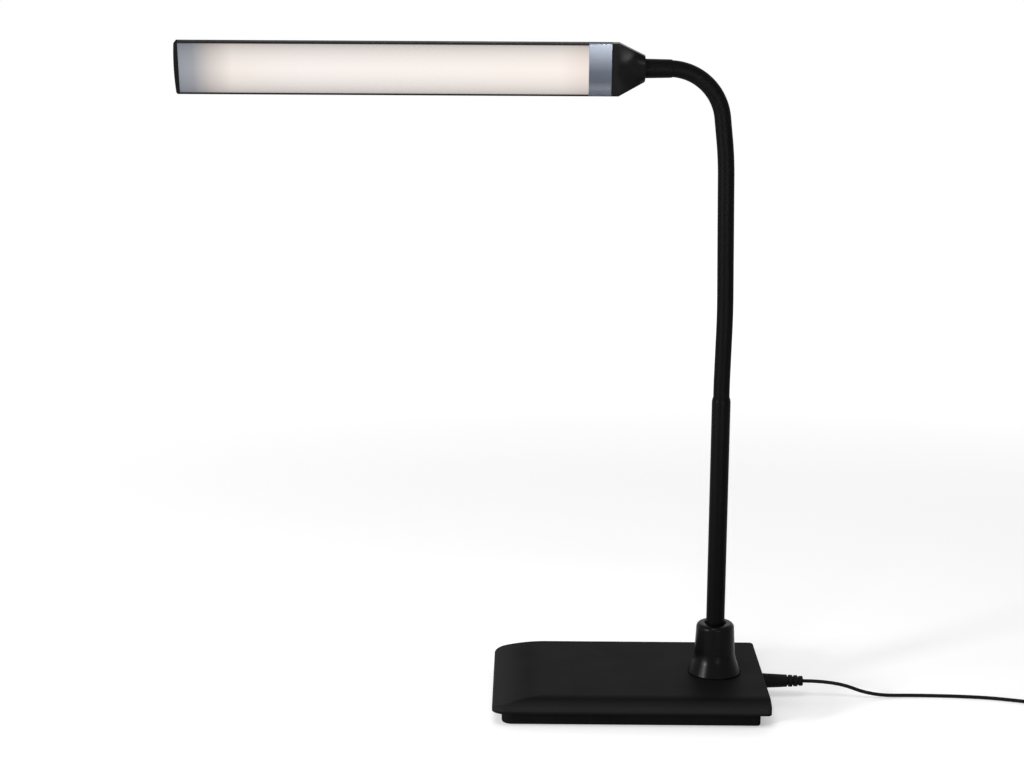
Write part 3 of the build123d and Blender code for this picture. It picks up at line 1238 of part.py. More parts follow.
def make_adapter_blades():
    """The two flat blades."""
    back = ADAPTER_PLACE[1] - ADAPTER_LENGTH
    middle = ADAPTER_HEIGHT / 2
    blades = []
    for side in (-1, 1):
        x = ADAPTER_PLACE[0] + side * BLADE_SPACING / 2
        x_limits = (x - BLADE_THICKNESS / 2, x + BLADE_THICKNESS / 2)
        y_limits = (back - BLADE_LENGTH, back + BLADE_ROOT)
        blade = block(x_limits, y_limits, (middle - BLADE_WIDTH / 2, middle + BLADE_WIDTH / 2))
        tip = blade.edges().filter_by(Axis.X).group_by(Axis.Y)[0]
        blade = chamfer(tip, BLADE_WIDTH / 5)
        blade -= Pos(0, back - BLADE_LENGTH + 4.0, middle) * bar(BLADE_WIDTH / 4, x_limits)
        blades.append(blade)
    return blades


# ---- every piece, by node name -----------------------------------------------------------------
def in_head(shape):
    """Move a piece, or several, from the head's own frame to its place."""
    shapes = shape if isinstance(shape, list) else [shape]
    return [head_place() * item for item in shapes]


def all_nodes():
    """Every node's solid or solids."""
    joints = neck_joints()
    nodes = {
        "base_cover": make_base_cover(),
        "base_tray": make_base_tray(),
        "base_pad": make_base_pad(),
        "base_screws": make_base_screws(),
        "ballast_plate": make_ballast_plate(),
        "ballast_screws": make_ballast_screws(),
        "dc_jack": make_dc_jack(),
        "jack_pin": make_jack_pin(),
        "base_cable": make_base_cable(),
        "stem_hub": make_stem_hub(),
        "stem_tube": make_stem_tube(),
        "stem_washer": make_stem_washer(),
        "stem_nut": make_stem_nut(),
        "neck_root": make_neck_root(),
        "neck_sleeve": make_neck_sleeve(),
        "neck_cable": make_neck_cable(),
        "neck_ferrule": make_neck_ferrule(),
        "stop_washer": in_head(make_stop_washer()),
        "swivel_spring": in_head(make_spring_washer()),
        "retaining_clip": in_head(make_retaining_clip()),
        "swivel_bush": in_head(make_swivel_bush()),
        "head_collar": in_head(make_head_collar()),
        "head_screws": in_head(make_head_screws()),
        "trim_band": in_head(make_trim_band()),
        "head_housing": in_head(make_head_housing()),
        "end_cap": in_head(make_end_cap()),
        "diffuser": in_head(make_diffuser()),
        "reflector": in_head(make_reflector()),
        "led_board": in_head(make_led_board()),
        "leds": in_head(make_leds()),
        "driver_board": in_head(make_driver_board()),
        "board_pins": in_head(make_board_link()),
        "head_leads": in_head(make_head_leads()),
        "tact_switch": in_head(make_tact_switch()),
        "switch_plunger": in_head(make_switch_plunger()),
        "power_button": in_head(make_power_button()),
        "plug_barrel": make_plug_barrel(),
        "plug_grip": make_plug_grip(),
        "power_cord": make_power_cord(),
        "cord_coil": make_cord_coil(),
        "coil_tie": make_coil_tie(),
        "adapter_lead": make_adapter_lead(),
        "adapter_relief": make_adapter_relief(),
        "wall_adapter": make_wall_adapter(),
        "adapter_blades": make_adapter_blades(),
    }
    for number, (start, end) in enumerate(zip(joints, joints[1:]), start=1):
        nodes[f"neck_link_{number:02d}"] = make_neck_link(start, end)
    return nodes


def main():
    """Write every node to its own file."""
    os.makedirs("parts", exist_ok=True)
    for name, shape in all_nodes().items():
        shapes = shape if isinstance(shape, list) else [shape]
        solids = [solid for item in shapes for solid in item.solids()]
        node = solids[0] if len(solids) == 1 else Compound(children=solids)
        node.label = name
        export_step(node, f"parts/{name}.step")
        print(name, "solids", len(solids), "volume", round(sum(solid.volume for solid in solids), 1))


if __name__ == "__main__":
    main()
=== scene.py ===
"""Finished surfaces, materials, light and camera of the gooseneck desk lamp, built round its CAD frame.

Sizes held by the classes are millimetres in the lamp's own frame: +Z up, the origin in the middle
of the base on the surface it stands on, +X from the head's free end towards the cord outlet and +Y
to the back of the base. Meshes are written in metres. The cord, the camera, the floor and the
lamps are in metres throughout, and so are the depths of a finish's relief. The scale of a pattern
is its repeats per metre.
"""

import logging
import math
from dataclasses import dataclass
from enum import Enum

import bpy
import numpy as np
from mathutils import Matrix, Vector


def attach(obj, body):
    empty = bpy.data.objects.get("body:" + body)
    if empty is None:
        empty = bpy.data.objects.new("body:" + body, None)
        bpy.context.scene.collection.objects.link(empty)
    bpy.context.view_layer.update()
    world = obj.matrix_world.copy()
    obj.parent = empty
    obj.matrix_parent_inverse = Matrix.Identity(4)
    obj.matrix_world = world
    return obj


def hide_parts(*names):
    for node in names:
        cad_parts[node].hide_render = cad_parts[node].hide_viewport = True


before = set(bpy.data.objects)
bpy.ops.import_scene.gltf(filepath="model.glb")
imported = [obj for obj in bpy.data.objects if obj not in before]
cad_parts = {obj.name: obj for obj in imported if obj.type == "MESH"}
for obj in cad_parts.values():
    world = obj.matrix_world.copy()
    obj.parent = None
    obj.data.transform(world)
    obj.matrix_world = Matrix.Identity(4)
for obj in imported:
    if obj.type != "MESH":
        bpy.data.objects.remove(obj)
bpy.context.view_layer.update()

LOG = logging.getLogger("desk_lamp")
MM = 0.001
TURN = 2 * math.pi
SHARP_ANGLE = math.radians(34.0)
WHITE = (1.0, 1.0, 1.0, 1.0)
NOISE_LOW, NOISE_HIGH = 0.3, 0.7  # nearly all of a noise lies between these


# ---- curves and surfaces -----------------------------------------------------
def arc(centre: tuple[float, float], radius: float, first: float, last: float, steps: int) -> np.ndarray:
    """Points of an arc, evenly spaced in angle.

    Args:
        centre: Middle of the circle.
        radius: Radius of the circle.
        first: Angle of the first point in degrees.
        last: Angle of the last point in degrees.
        steps: Number of chords.

    Returns:
        The points, one row each.
    """
    angle = np.radians(np.linspace(first, last, steps + 1))
    return np.array(centre) + radius * np.stack([np.cos(angle), np.sin(angle)], -1)


def rounded(corners: list[tuple[float, float]], radii: list[float], closed: bool, steps: int) -> np.ndarray:
    """Outline through corners, each with a round of its own.

    The tangent length at a corner is the radius over the tangent of half the inner angle, and
    the arc's centre lies on the bisector, a radius over the sine of that half angle away.

    Args:
        corners: Corners in order.
        radii: Radius at each corner, 0 for a sharp one.
        closed: Whether the last corner runs on to the first.
        steps: Number of chords in each round.

    Returns:
        The outline's points, one row each.
    """
    points = np.array(corners, float)
    pieces = []
    for index, radius in enumerate(radii):
        corner = points[index]
        end = not closed and index in (0, len(points) - 1)
        if end or radius <= 0:
            pieces.append(corner[None, :])
            continue
        back = points[index - 1] - corner
        ahead = points[(index + 1) % len(points)] - corner
        back = back / np.linalg.norm(back)
        ahead = ahead / np.linalg.norm(ahead)
        half = math.acos(float(np.clip(back @ ahead, -1.0, 1.0))) / 2
        middle = back + ahead
        centre = corner + middle / np.linalg.norm(middle) * radius / math.sin(half)
        start = corner + back * radius / math.tan(half) - centre
        finish = corner + ahead * radius / math.tan(half) - centre
        first = math.atan2(start[1], start[0])
        sweep = math.remainder(math.atan2(finish[1], finish[0]) - first, TURN)
        pieces.append(arc(tuple(centre), radius, math.degrees(first), math.degrees(first + sweep), steps))
    return np.concatenate(pieces)


def spaced(points: np.ndarray, longest: float) -> np.ndarray:
    """Split the long chords of an open outline evenly.

    Args:
        points: The outline, one row each.
        longest: Greatest length that a chord may keep.

    Returns:
        The outline with the points added.
    """
    runs = []
    for start, end in zip(points, points[1:]):
        count = max(1, math.ceil(np.linalg.norm(end - start) / longest))
        runs.append(start + (end - start) * np.linspace(0, 1, count, endpoint=False)[:, None])
    return np.concatenate(runs + [points[-1:]])


def spaced_loop(outline: np.ndarray, longest: float) -> np.ndarray:
    """Split the long chords of a closed outline evenly, its closing chord included."""
    return spaced(np.vstack([outline, outline[:1]]), longest)[:-1]


def rounded_box(low: tuple[float, float], high: tuple[float, float], radii: list[float],
                steps: int) -> np.ndarray:
    """Outline of a rectangle with a round at each corner.

    Args:
        low: Its corner with the least values.
        high: Its corner with the greatest values.
        radii: Radius at each corner, anticlockwise from the low one.
        steps: Number of chords in each round.

    Returns:
        The outline's points, one row each.
    """
    (left, bottom), (right, top) = low, high
    return rounded([(left, bottom), (right, bottom), (right, top), (left, top)], radii, True, steps)


def turned(profile: np.ndarray, segments: int) -> np.ndarray:
    """Rings of a surface of revolution about Z.

    Each (radius, height) gives the ring radius * (cos a, sin a) at that height.

    Args:
        profile: Radius and height of each ring.
        segments: Number of points round a ring.

    Returns:
        Points as an array of rings by points by three.
    """
    angle = np.linspace(0, TURN, segments, endpoint=False)
    radius = profile[:, :1]
    height = np.repeat(profile[:, 1:], segments, 1)
    return np.stack([radius * np.cos(angle), radius * np.sin(angle), height], -1)


def laid_along_x(rings: np.ndarray, start: float, direction: int, height: float) -> np.ndarray:
    """Turn rings about Z so that their axis runs along X.

    Args:
        rings: Rings about the Z axis.
        start: X of the height zero.
        direction: 1 to run towards +X, -1 towards -X.
        height: Z of the new axis.

    Returns:
        The moved rings.
    """
    return np.stack([start + direction * rings[..., 2], rings[..., 0], height + rings[..., 1]], -1)


def extruded(section: np.ndarray, places: np.ndarray) -> np.ndarray:
    """Carry a closed YZ section along X.

    Args:
        section: Y and Z of the section's points.
        places: X of each ring.

    Returns:
        Points as rings by points by three.
    """
    rings = np.empty((len(places), len(section), 3))
    rings[..., 0] = np.asarray(places)[:, None]
    rings[..., 1:] = section[None]
    return rings


def new_object(name: str, data: bpy.types.ID) -> bpy.types.Object:
    """Put a mesh, curve, lamp or camera into the scene.

    Args:
        name: The object's name.
        data: What it shows.

    Returns:
        The new object at the origin.
    """
    item = bpy.data.objects.new(name, data)
    bpy.context.scene.collection.objects.link(item)
    return item


class Skin:
    """A closed surface through rings of points, in millimetres."""

    def __init__(self, rings: np.ndarray, loop: bool = False) -> None:
        """Join each ring to the next by quads that wrap round.

        With loop the last ring joins the first. Otherwise a fan to its middle closes each end.
        The faces are turned outwards by the sign of the volume they enclose.

        Args:
            rings: Points as rings by points by three.
            loop: Whether the rings close on themselves.
        """
        count, around = rings.shape[:2]
        index = np.arange(count * around).reshape(count, around)
        rows = np.vstack([index, index[:1]]) if loop else index
        near, far = rows[:-1], rows[1:]
        quads = np.stack([near, np.roll(near, -1, 1), np.roll(far, -1, 1), far], -1).reshape(-1, 4)
        self.points = rings.reshape(-1, 3)
        self.faces = [quads]
        if not loop:
            self.points = np.vstack([self.points, rings[0].mean(0), rings[-1].mean(0)])
            poles = np.full((2, around), [[count * around], [count * around + 1]])
            self.faces.append(np.stack([np.roll(index[0], -1), index[0], poles[0]], -1))
            self.faces.append(np.stack([index[-1], np.roll(index[-1], -1), poles[1]], -1))
        if self.volume() < 0:
            self.faces = [face[:, ::-1] for face in self.faces]

    def volume(self) -> float:
        """Enclosed volume: a sixth of the triple products of each face's triangles.

        Returns:
            The volume, negative where the faces point inwards.
        """
        total = 0.0
        for faces in self.faces:
            corners = self.points[faces]
            for second in range(1, faces.shape[1] - 1):
                cross = np.cross(corners[:, second], corners[:, second + 1])
                total += float(np.einsum("ij,ij->", corners[:, 0], cross)) / 6
        return total

    def moved(self, matrix: Matrix) -> "Skin":
        """Apply a rigid move to every point.

        Args:
            matrix: The move in millimetres.

        Returns:
            The same surface.
        """
        move = np.array(matrix)
        self.points = self.points @ move[:3, :3].T + move[:3, 3]
        return self

    def to_object(self, name: str, sharp: float = SHARP_ANGLE) -> bpy.types.Object:
        """Write the surface to a new object at the origin.

        Args:
            name: The piece's name.
            sharp: Edges that turn by more than this angle stay sharp.

        Returns:
            The new object, linked to the scene.
        """
        mesh = bpy.data.meshes.new(name)
        faces = [face for group in self.faces for face in group.tolist()]
        mesh.from_pydata((self.points * MM).tolist(), [], faces)
        mesh.shade_smooth()
        mesh.set_sharp_from_angle(angle=sharp)
        mesh.update()
        return new_object(name, mesh)


def add_uv(piece: bpy.types.Object, across: np.ndarray, along: np.ndarray) -> None:
    """Give a piece a UV map from one pair of values per vertex.

    Args:
        piece: The mesh object.
        across: U of each vertex.
        along: V of each vertex.
    """
    mesh = piece.data
    corner = np.empty(len(mesh.loops), np.int32)
    mesh.loops.foreach_get("vertex_index", corner)
    layer = mesh.uv_layers.new(name="UVMap")
    layer.data.foreach_set("uv", np.stack([across, along], -1)[corner].astype(np.float32).ravel())


# ---- materials ---------------------------------------------------------------
def linear(red: float, green: float, blue: float) -> tuple[float, float, float, float]:
    """Scene colour of an sRGB colour, by the standard's curve with its straight foot.

    Args:
        red: Red on a scale of 255.
        green: Green on the same scale.
        blue: Blue on the same scale.

    Returns:
        The linear colour with its alpha.
    """
    shares = [value / 255 for value in (red, green, blue)]
    curve = [((share + 0.055) / 1.055) ** 2.4 if share > 10 / 255 else share / 12.92 for share in shares]
    return (*curve, 1.0)


def close_tones(base: tuple[float, ...], spread: float) -> list[tuple[float, tuple[float, ...]]]:
    """Stops that take a noise from a darker tone of a colour to a paler one.

    Args:
        base: The colour between them.
        spread: Share of it by which each tone differs.

    Returns:
        Position and colour of both stops.
    """
    dark, pale = (tuple(value * factor for value in base[:3]) + (1.0,) for factor in (1 - spread, 1 + spread))
    return [(NOISE_LOW, dark), (NOISE_HIGH, pale)]


class Graph:
    """A material's node tree with short calls for the nodes that the finishes share."""

    def __init__(self, name: str) -> None:
        """Start a material with a Principled shader.

        Args:
            name: The material's name.
        """
        self.material = bpy.data.materials.new(name)
        self.material.use_nodes = True
        self.nodes = self.material.node_tree.nodes
        self.shader = self.nodes["Principled BSDF"]

    def link(self, source: bpy.types.NodeSocket, target: bpy.types.NodeSocket) -> None:
        """Join two sockets."""
        self.material.node_tree.links.new(source, target)

    def add(self, kind: str, **settings: object) -> bpy.types.Node:
        """Add a node and set its named properties or inputs.

        Args:
            kind: Blender's name of the node's type.
            **settings: Properties of the node, or inputs by name with _ for a space.

        Returns:
            The new node.
        """
        node = self.nodes.new(kind)
        for name, value in settings.items():
            if hasattr(node, name):
                setattr(node, name, value)
            else:
                node.inputs[name.replace("_", " ")].default_value = value
        return node

    def surface(self, **inputs: object) -> None:
        """Fill inputs of the shader.

        Args:
            **inputs: A socket to link or a constant to write, by name with _ for a space.
        """
        for name, value in inputs.items():
            target = self.shader.inputs[name.replace("_", " ")]
            if isinstance(value, bpy.types.NodeSocket):
                self.link(value, target)
            else:
                target.default_value = value

    def place(self, scale: tuple[float, float, float] = (1, 1, 1), uv: bool = False) -> bpy.types.NodeSocket:
        """Object or UV coordinates through a Mapping node.

        Args:
            scale: Scale of the pattern along each axis.
            uv: Whether to read the UV map in place of Object coordinates.

        Returns:
            The mapped coordinate.
        """
        source = self.add("ShaderNodeTexCoord")
        mapping = self.add("ShaderNodeMapping")
        mapping.inputs["Scale"].default_value = scale
        self.link(source.outputs["UV" if uv else "Object"], mapping.inputs["Vector"])
        return mapping.outputs["Vector"]

    def noise(self, scale: float, place: bpy.types.NodeSocket, detail: float = 3.0) -> bpy.types.NodeSocket:
        """Noise on a coordinate.

        Args:
            scale: Repeats per metre.
            place: The coordinate.
            detail: Number of finer layers.

        Returns:
            The noise, about a half.
        """
        node = self.add("ShaderNodeTexNoise", Scale=scale, Detail=detail)
        self.link(place, node.inputs["Vector"])
        return node.outputs["Fac"]

    def ramp(self, value: bpy.types.NodeSocket, stops: list[tuple[float, tuple]]) -> bpy.types.NodeSocket:
        """Colours for a value.

        Args:
            value: The value that is looked up.
            stops: Position and colour of each stop, in order.

        Returns:
            The colour.
        """
        node = self.add("ShaderNodeValToRGB")
        elements = node.color_ramp.elements
        for index, (position, colour) in enumerate(stops):
            element = elements[index] if index < 2 else elements.new(position)
            element.position = position
            element.color = colour
        self.link(value, node.inputs["Fac"])
        return node.outputs["Color"]

    def multiplied(self, first: bpy.types.NodeSocket, second: bpy.types.NodeSocket) -> bpy.types.NodeSocket:
        """Product of two colours.

        Args:
            first: One colour.
            second: The other colour.

        Returns:
            Their product.
        """
        mix = self.add("ShaderNodeMix", data_type="RGBA", blend_type="MULTIPLY")
        mix.inputs["Factor"].default_value = 1.0
        self.link(first, mix.inputs[6])  # the colour sockets share their names with those of other types
        self.link(second, mix.inputs[7])
        return mix.outputs[2]

    def about(self, noise: bpy.types.NodeSocket, middle: float, reach: float) -> bpy.types.NodeSocket:
        """A value that follows a noise to either side of a middle one.

        Args:
            noise: Noise about a half.
            middle: The middle value.
            reach: Greatest step away from it.

        Returns:
            The value.
        """
        node = self.add("ShaderNodeMapRange", From_Min=NOISE_LOW, From_Max=NOISE_HIGH,
                        To_Min=middle - reach, To_Max=middle + reach)
        self.link(noise, node.inputs["Value"])
        return node.outputs["Result"]

    def height_share(self, place: bpy.types.NodeSocket, low: float, high: float) -> bpy.types.NodeSocket:
        """How high a point lies between two levels.

        Args:
            place: The coordinate whose Z is read.
            low: Height in millimetres where the share is 0.
            high: Height in millimetres where it is 1.

        Returns:
            The share.
        """
        split = self.add("ShaderNodeSeparateXYZ")
        self.link(place, split.inputs["Vector"])
        node = self.add("ShaderNodeMapRange", From_Min=low * MM, From_Max=high * MM)
        self.link(split.outputs["Z"], node.inputs["Value"])
        return node.outputs["Result"]

    def bump(self, height: bpy.types.NodeSocket, depth: float, strength: float) -> bpy.types.NodeSocket:
        """A bumped normal.

        Args:
            height: Height texture from 0 to 1.
            depth: Height of the relief in metres.
            strength: Share of the relief that is used.

        Returns:
            The normal.
        """
        node = self.add("ShaderNodeBump", Strength=strength, Distance=depth)
        self.link(height, node.inputs["Height"])
        return node.outputs["Normal"]


@dataclass(frozen=True)
class Moulded:
    """A moulded, painted or rubber surface: close tones, uneven gloss and a fine grain.

    Tones by height are pairs of a height in millimetres and a grey on a scale of 255; they paint light onto
    the lower slope and nose of a moulded edge and painted shade into the crease above it.
    """

    name: str
    colour: tuple[float, float, float]
    tone_spread: float = 0.18
    roughness: float = 0.5
    roughness_spread: float = 0.06
    specular: float = 0.5
    grain_scale: float = 2600.0
    grain_depth: float = 0.00002
    grain_strength: float = 0.5
    cloud_scale: float = 45.0
    sheen: float = 0.0
    painted_edge_shading: tuple[tuple[float, int], ...] = ()

    def build(self) -> bpy.types.Material:
        """Make the material.

        Where there are tones by height, which are painted light and shade, the cloud's close tones are
        multiplied by them.

        Returns:
            The finished material.
        """
        graph = Graph(self.name)
        place = graph.place()
        cloud = graph.noise(self.cloud_scale, place)
        grain = graph.noise(self.grain_scale, place, detail=2.0)
        base = WHITE if self.painted_edge_shading else linear(*self.colour)
        tone = graph.ramp(cloud, close_tones(base, self.tone_spread))
        # multiply in the painted light and shade of the edge, by height
        if self.painted_edge_shading:
            tone = graph.multiplied(tone, self.paint_edge_shading(graph, place))
        graph.surface(Base_Color=tone, Roughness=graph.about(cloud, self.roughness, self.roughness_spread),
                      Normal=graph.bump(grain, self.grain_depth, self.grain_strength),
                      Specular_IOR_Level=self.specular, Sheen_Weight=self.sheen)
        return graph.material

    def paint_edge_shading(self, graph: Graph, place: bpy.types.NodeSocket) -> bpy.types.NodeSocket:
        """Painted light and shade that change with height: lighter over a moulded edge's slope and nose,
        darker at its crease.

        Each is its grey with one step more of blue.

        Args:
            graph: The material's node tree.
            place: The coordinate whose Z is read.

        Returns:
            The colour at each height.
        """
        low, high = self.painted_edge_shading[0][0], self.painted_edge_shading[-1][0]
        stops = []
        for level, tone in self.painted_edge_shading:
            stops.append(((level - low) / (high - low), linear(tone, tone, tone + 1)))
        return graph.ramp(graph.height_share(place, low, high), stops)


@dataclass(frozen=True)
class Metal:
    """A plated or turned metal surface with a fine grain."""

    name: str
    colour: tuple[float, float, float]
    roughness: float = 0.35
    roughness_spread: float = 0.08
    tone_spread: float = 0.1
    grain_scale: float = 900.0
    grain_depth: float = 0.00001
    grain_strength: float = 0.4

    def build(self) -> bpy.types.Material:
        """Make the material.

        Returns:
            The finished material.
        """
        graph = Graph(self.name)
        grain = graph.noise(self.grain_scale, graph.place(), detail=4.0)
        tone = graph.ramp(grain, close_tones(linear(*self.colour), self.tone_spread))
        graph.surface(Base_Color=tone, Roughness=graph.about(grain, self.roughness, self.roughness_spread),
                      Normal=graph.bump(grain, self.grain_depth, self.grain_strength), Metallic=1.0)
        return graph.material


@dataclass(frozen=True)
class BrushedBand:
    """Anodised aluminium brushed along X, with a painted reflection: its tone drifts over the height of the
    band as mirrored surroundings would make it.

    Bottom and top are heights in millimetres, and each tone has its share of the way between them.
    """

    name: str = "brushed_band"
    bottom: float = 401.3
    top: float = 434.5
    # painted reflection: paler and darker bands over the height, as the band would mirror the floor and lamps
    tones: tuple[tuple[float, tuple[int, int, int]], ...] = (
        (0.0, (63, 66, 73)), (0.13, (80, 83, 90)), (0.25, (57, 61, 68)), (0.45, (60, 64, 71)),
        (1.0, (102, 107, 115)),
    )
    tone_waver: float = 0.03
    roughness: float = 0.34
    roughness_spread: float = 0.05
    streak: tuple[float, float, float] = (0.03, 1.0, 1.0)
    grain_scale: float = 4200.0
    grain_depth: float = 0.000004
    grain_strength: float = 0.4

    def build(self) -> bpy.types.Material:
        """Make the material.

        The height within the band picks a tone of the painted reflection, and stretched noise wavers it, its
        gloss and its surface.

        Returns:
            The finished material.
        """
        graph = Graph(self.name)
        grain = graph.noise(self.grain_scale, graph.place(scale=self.streak), detail=4.0)
        waver = graph.add("ShaderNodeMath", operation="MULTIPLY_ADD")
        graph.link(graph.about(grain, 0.0, 1.0), waver.inputs[0])
        waver.inputs[1].default_value = self.tone_waver
        graph.link(graph.height_share(graph.place(), self.bottom, self.top), waver.inputs[2])
        tone = graph.ramp(waver.outputs["Value"], [(place, linear(*colour)) for place, colour in self.tones])
        graph.surface(Base_Color=tone, Roughness=graph.about(grain, self.roughness, self.roughness_spread),
                      Normal=graph.bump(grain, self.grain_depth, self.grain_strength), Metallic=1.0)
        return graph.material


@dataclass(frozen=True)
class Opal:
    """The lit panel: its own light fades towards its edges, and its unlit free end glows a dim blue-grey,
    partly the panel's own fading light and partly a painted reflection.

    Stops along the panel are shares of its length from the free end, with sRGB colours. Stops
    inwards are shares of the way from an edge to the middle, with linear levels.
    """

    name: str = "opal_panel"
    strength: float = 0.935
    along: tuple[tuple[float, tuple[int, int, int]], ...] = (
        # the first stops make the unlit free end glow dim blue-grey: partly fading light, partly a painted
        # reflection
        (0.0, (134, 140, 150)), (0.035, (150, 152, 158)), (0.08, (210, 200, 195)), (0.13, (243, 233, 225)),
        (0.3, (248, 239, 234)), (0.93, (248, 238, 230)), (1.0, (236, 221, 212)),
    )
    inwards: tuple[tuple[float, float], ...] = (
        (0.0, 0.48), (0.1, 0.63), (0.3, 0.78), (0.5, 0.88), (0.75, 0.96), (1.0, 1.0),
    )
    unlit: tuple[float, float, float, float] = (0.02, 0.02, 0.022, 1.0)
    roughness: float = 0.45
    specular: float = 0.2

    def build(self) -> bpy.types.Material:
        """Make the material.

        The colour along the panel, read from U, is multiplied by the level from its edges inwards, from V.

        Returns:
            The finished material.
        """
        graph = Graph(self.name)
        split = graph.add("ShaderNodeSeparateXYZ")
        graph.link(graph.place(uv=True), split.inputs["Vector"])
        colour = graph.ramp(split.outputs["X"], [(place, linear(*colour)) for place, colour in self.along])
        greys = [(place, (tone, tone, tone, 1.0)) for place, tone in self.inwards]
        level = graph.ramp(split.outputs["Y"], greys)
        graph.surface(Emission_Color=graph.multiplied(colour, level), Emission_Strength=self.strength,
                      Base_Color=self.unlit, Roughness=self.roughness, Specular_IOR_Level=self.specular)
        return graph.material


class Finish(Enum):
    """Every finish on the lamp."""

    # The cover's tones by height are painted light on its front slope and nose and painted shade at the
    # crease.
    COVER = Moulded("satin_cover", (17, 17, 18), roughness=0.52, roughness_spread=0.03, tone_spread=0.06,
                    specular=0.011, grain_scale=2600, grain_depth=0.000012,
                    painted_edge_shading=((10.5, 15), (11.5, 17), (12.7, 29), (15.4, 28), (16.6, 23), (17.8, 14),
                                  (18.4, 9), (18.85, 14), (19.0, 16)))
    TRAY = Moulded("plain_tray", (17, 17, 18), roughness=0.6, specular=0.008)
    HEAD = Moulded("satin_head", (20, 20, 21), roughness=0.5, specular=0.05, grain_depth=0.000004)
    GLOSS = Moulded("gloss_collar", (5, 5, 6), roughness=0.3, roughness_spread=0.02, specular=0.05,
                    grain_depth=0.000002)
    HUB = Moulded("gloss_hub", (6, 6, 7), roughness=0.27, roughness_spread=0.02, specular=0.06,
                  grain_depth=0.000002)
    PAINT = Moulded("stem_paint", (6, 6, 7), roughness=0.4, roughness_spread=0.04, specular=0.026,
                    grain_scale=1500, grain_depth=0.000004)
    SLEEVE = Moulded("neck_rubber", (7, 7, 7), roughness=0.46, roughness_spread=0.04, specular=0.02,
                     grain_scale=1800, grain_depth=0.000006)
    GRIP = Moulded("grip_rubber", (15, 15, 16), roughness=0.6, specular=0.04)
    CORD = Moulded("cord_jacket", (17, 17, 18), roughness=0.5, specular=0.06, grain_scale=1800)
    FOAM = Moulded("pad_foam", (44, 44, 47), roughness=0.9, specular=0.03, grain_scale=1400,
                   grain_depth=0.0002, grain_strength=0.9)
    STRAP = Moulded("woven_strap", (20, 20, 22), roughness=0.85, specular=0.05, grain_scale=1700,
                    grain_depth=0.0001, sheen=0.05)
    ADAPTER = Moulded("satin_adapter", (26, 26, 28), roughness=0.55, specular=0.06)
    WHITE = Moulded("white_light_box", (226, 226, 224), roughness=0.5, tone_spread=0.03)
    ACETAL = Moulded("natural_acetal", (222, 220, 210), roughness=0.45, tone_spread=0.03)
    LED = Moulded("yellow_phosphor", (246, 226, 130), roughness=0.4, tone_spread=0.05)
    SOLDER_MASK = Moulded("solder_mask", (20, 96, 58), roughness=0.35, tone_spread=0.1)
    SWITCH = Moulded("plain_switch", (38, 38, 40), roughness=0.5, specular=0.1)
    BAND = BrushedBand()
    ZINC = Metal("zinc_plate", (190, 192, 196), roughness=0.38)
    BLACK_ZINC = Metal("black_zinc", (58, 58, 61), roughness=0.42)
    BRASS = Metal("turned_brass", (214, 186, 120), roughness=0.32)
    BOARD = Metal("board_metal", (225, 225, 225), roughness=0.45)
    OPAL = Opal()

    def material(self) -> bpy.types.Material:
        """The finish's material, made the first time it is asked for."""
        return bpy.data.materials.get(self.value.name) or self.value.build()


def dress(piece: bpy.types.Object, finish: Finish) -> None:
    """Give every material slot of a piece one finish.

    Args:
        piece: A new piece or a CAD node.
        finish: The finish that it wears.
    """
    if not piece.material_slots:
        piece.data.materials.append(finish.material())
    for slot in piece.material_slots:
        slot.material = finish.material()


def dress_nodes(finishes: dict[str, Finish]) -> None:
    """Dress CAD nodes that are shown as they are.

    Args:
        finishes: Finish of each node by name.
    """
    for name, finish in finishes.items():
        dress(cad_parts[name], finish)


def fit(piece: bpy.types.Object, finish: Finish, body: str, slot: str, *nodes: str) -> bpy.types.Object:
    """Dress a new piece, set it on its body and let it stand for its CAD nodes.

    Args:
        piece: The new piece.
        finish: The finish that it wears.
        body: The CAD body that it rides on.
        slot: The record's material slot; not used.
        *nodes: CAD nodes that it stands for.

    Returns:
        The piece.
    """
    dress(piece, finish)
    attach(piece, body)
    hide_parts(*nodes)
    LOG.info("%s: %d faces on %s", piece.name, len(getattr(piece.data, "polygons", [])), body)
    return piece


# ---- camera, light and floor -------------------------------------------------
@dataclass(frozen=True)
class Camera:
    """The viewpoint: place in metres, angles in degrees, lens and sensor in millimetres."""

    place: tuple[float, float, float] = (-0.0683, -1.2728, 0.480)
    yaw: float = 0.46
    pitch: float = 11.78
    roll: float = 0.30
    lens: float = 70.31
    sensor: float = 36.0
    nearest: float = 0.05
    farthest: float = 50.0

    def build(self) -> None:
        """Add the camera: turned up from straight down, rolled about its own axis, then yawed."""
        data = bpy.data.cameras.new("camera")
        data.lens = self.lens
        data.sensor_width = self.sensor
        data.clip_start, data.clip_end = self.nearest, self.farthest
        camera = new_object("camera", data)
        turn = Matrix.Rotation(math.radians(self.yaw), 4, "Z")
        turn @= Matrix.Rotation(math.radians(90 - self.pitch), 4, "X")
        turn @= Matrix.Rotation(math.radians(self.roll), 4, "Z")
        camera.matrix_world = Matrix.Translation(self.place) @ turn
        bpy.context.scene.camera = camera


@dataclass(frozen=True)
class Softbox:
    """A rectangular area lamp that looks at one point; metres and watts."""

    name: str
    place: tuple[float, float, float]
    target: tuple[float, float, float]
    width: float
    height: float
    power: float
    spread: float = 180.0

    def build(self) -> None:
        """Add the lamp, with a grid before it where its spread is under 180 degrees."""
        data = bpy.data.lights.new(self.name, "AREA")
        data.shape = "RECTANGLE"
        data.size = self.width
        data.size_y = self.height
        data.energy = self.power
        data.spread = math.radians(self.spread)
        lamp = new_object(self.name, data)
        lamp.location = self.place
        lamp.rotation_euler = (Vector(self.target) - Vector(self.place)).to_track_quat("-Z", "Y").to_euler()


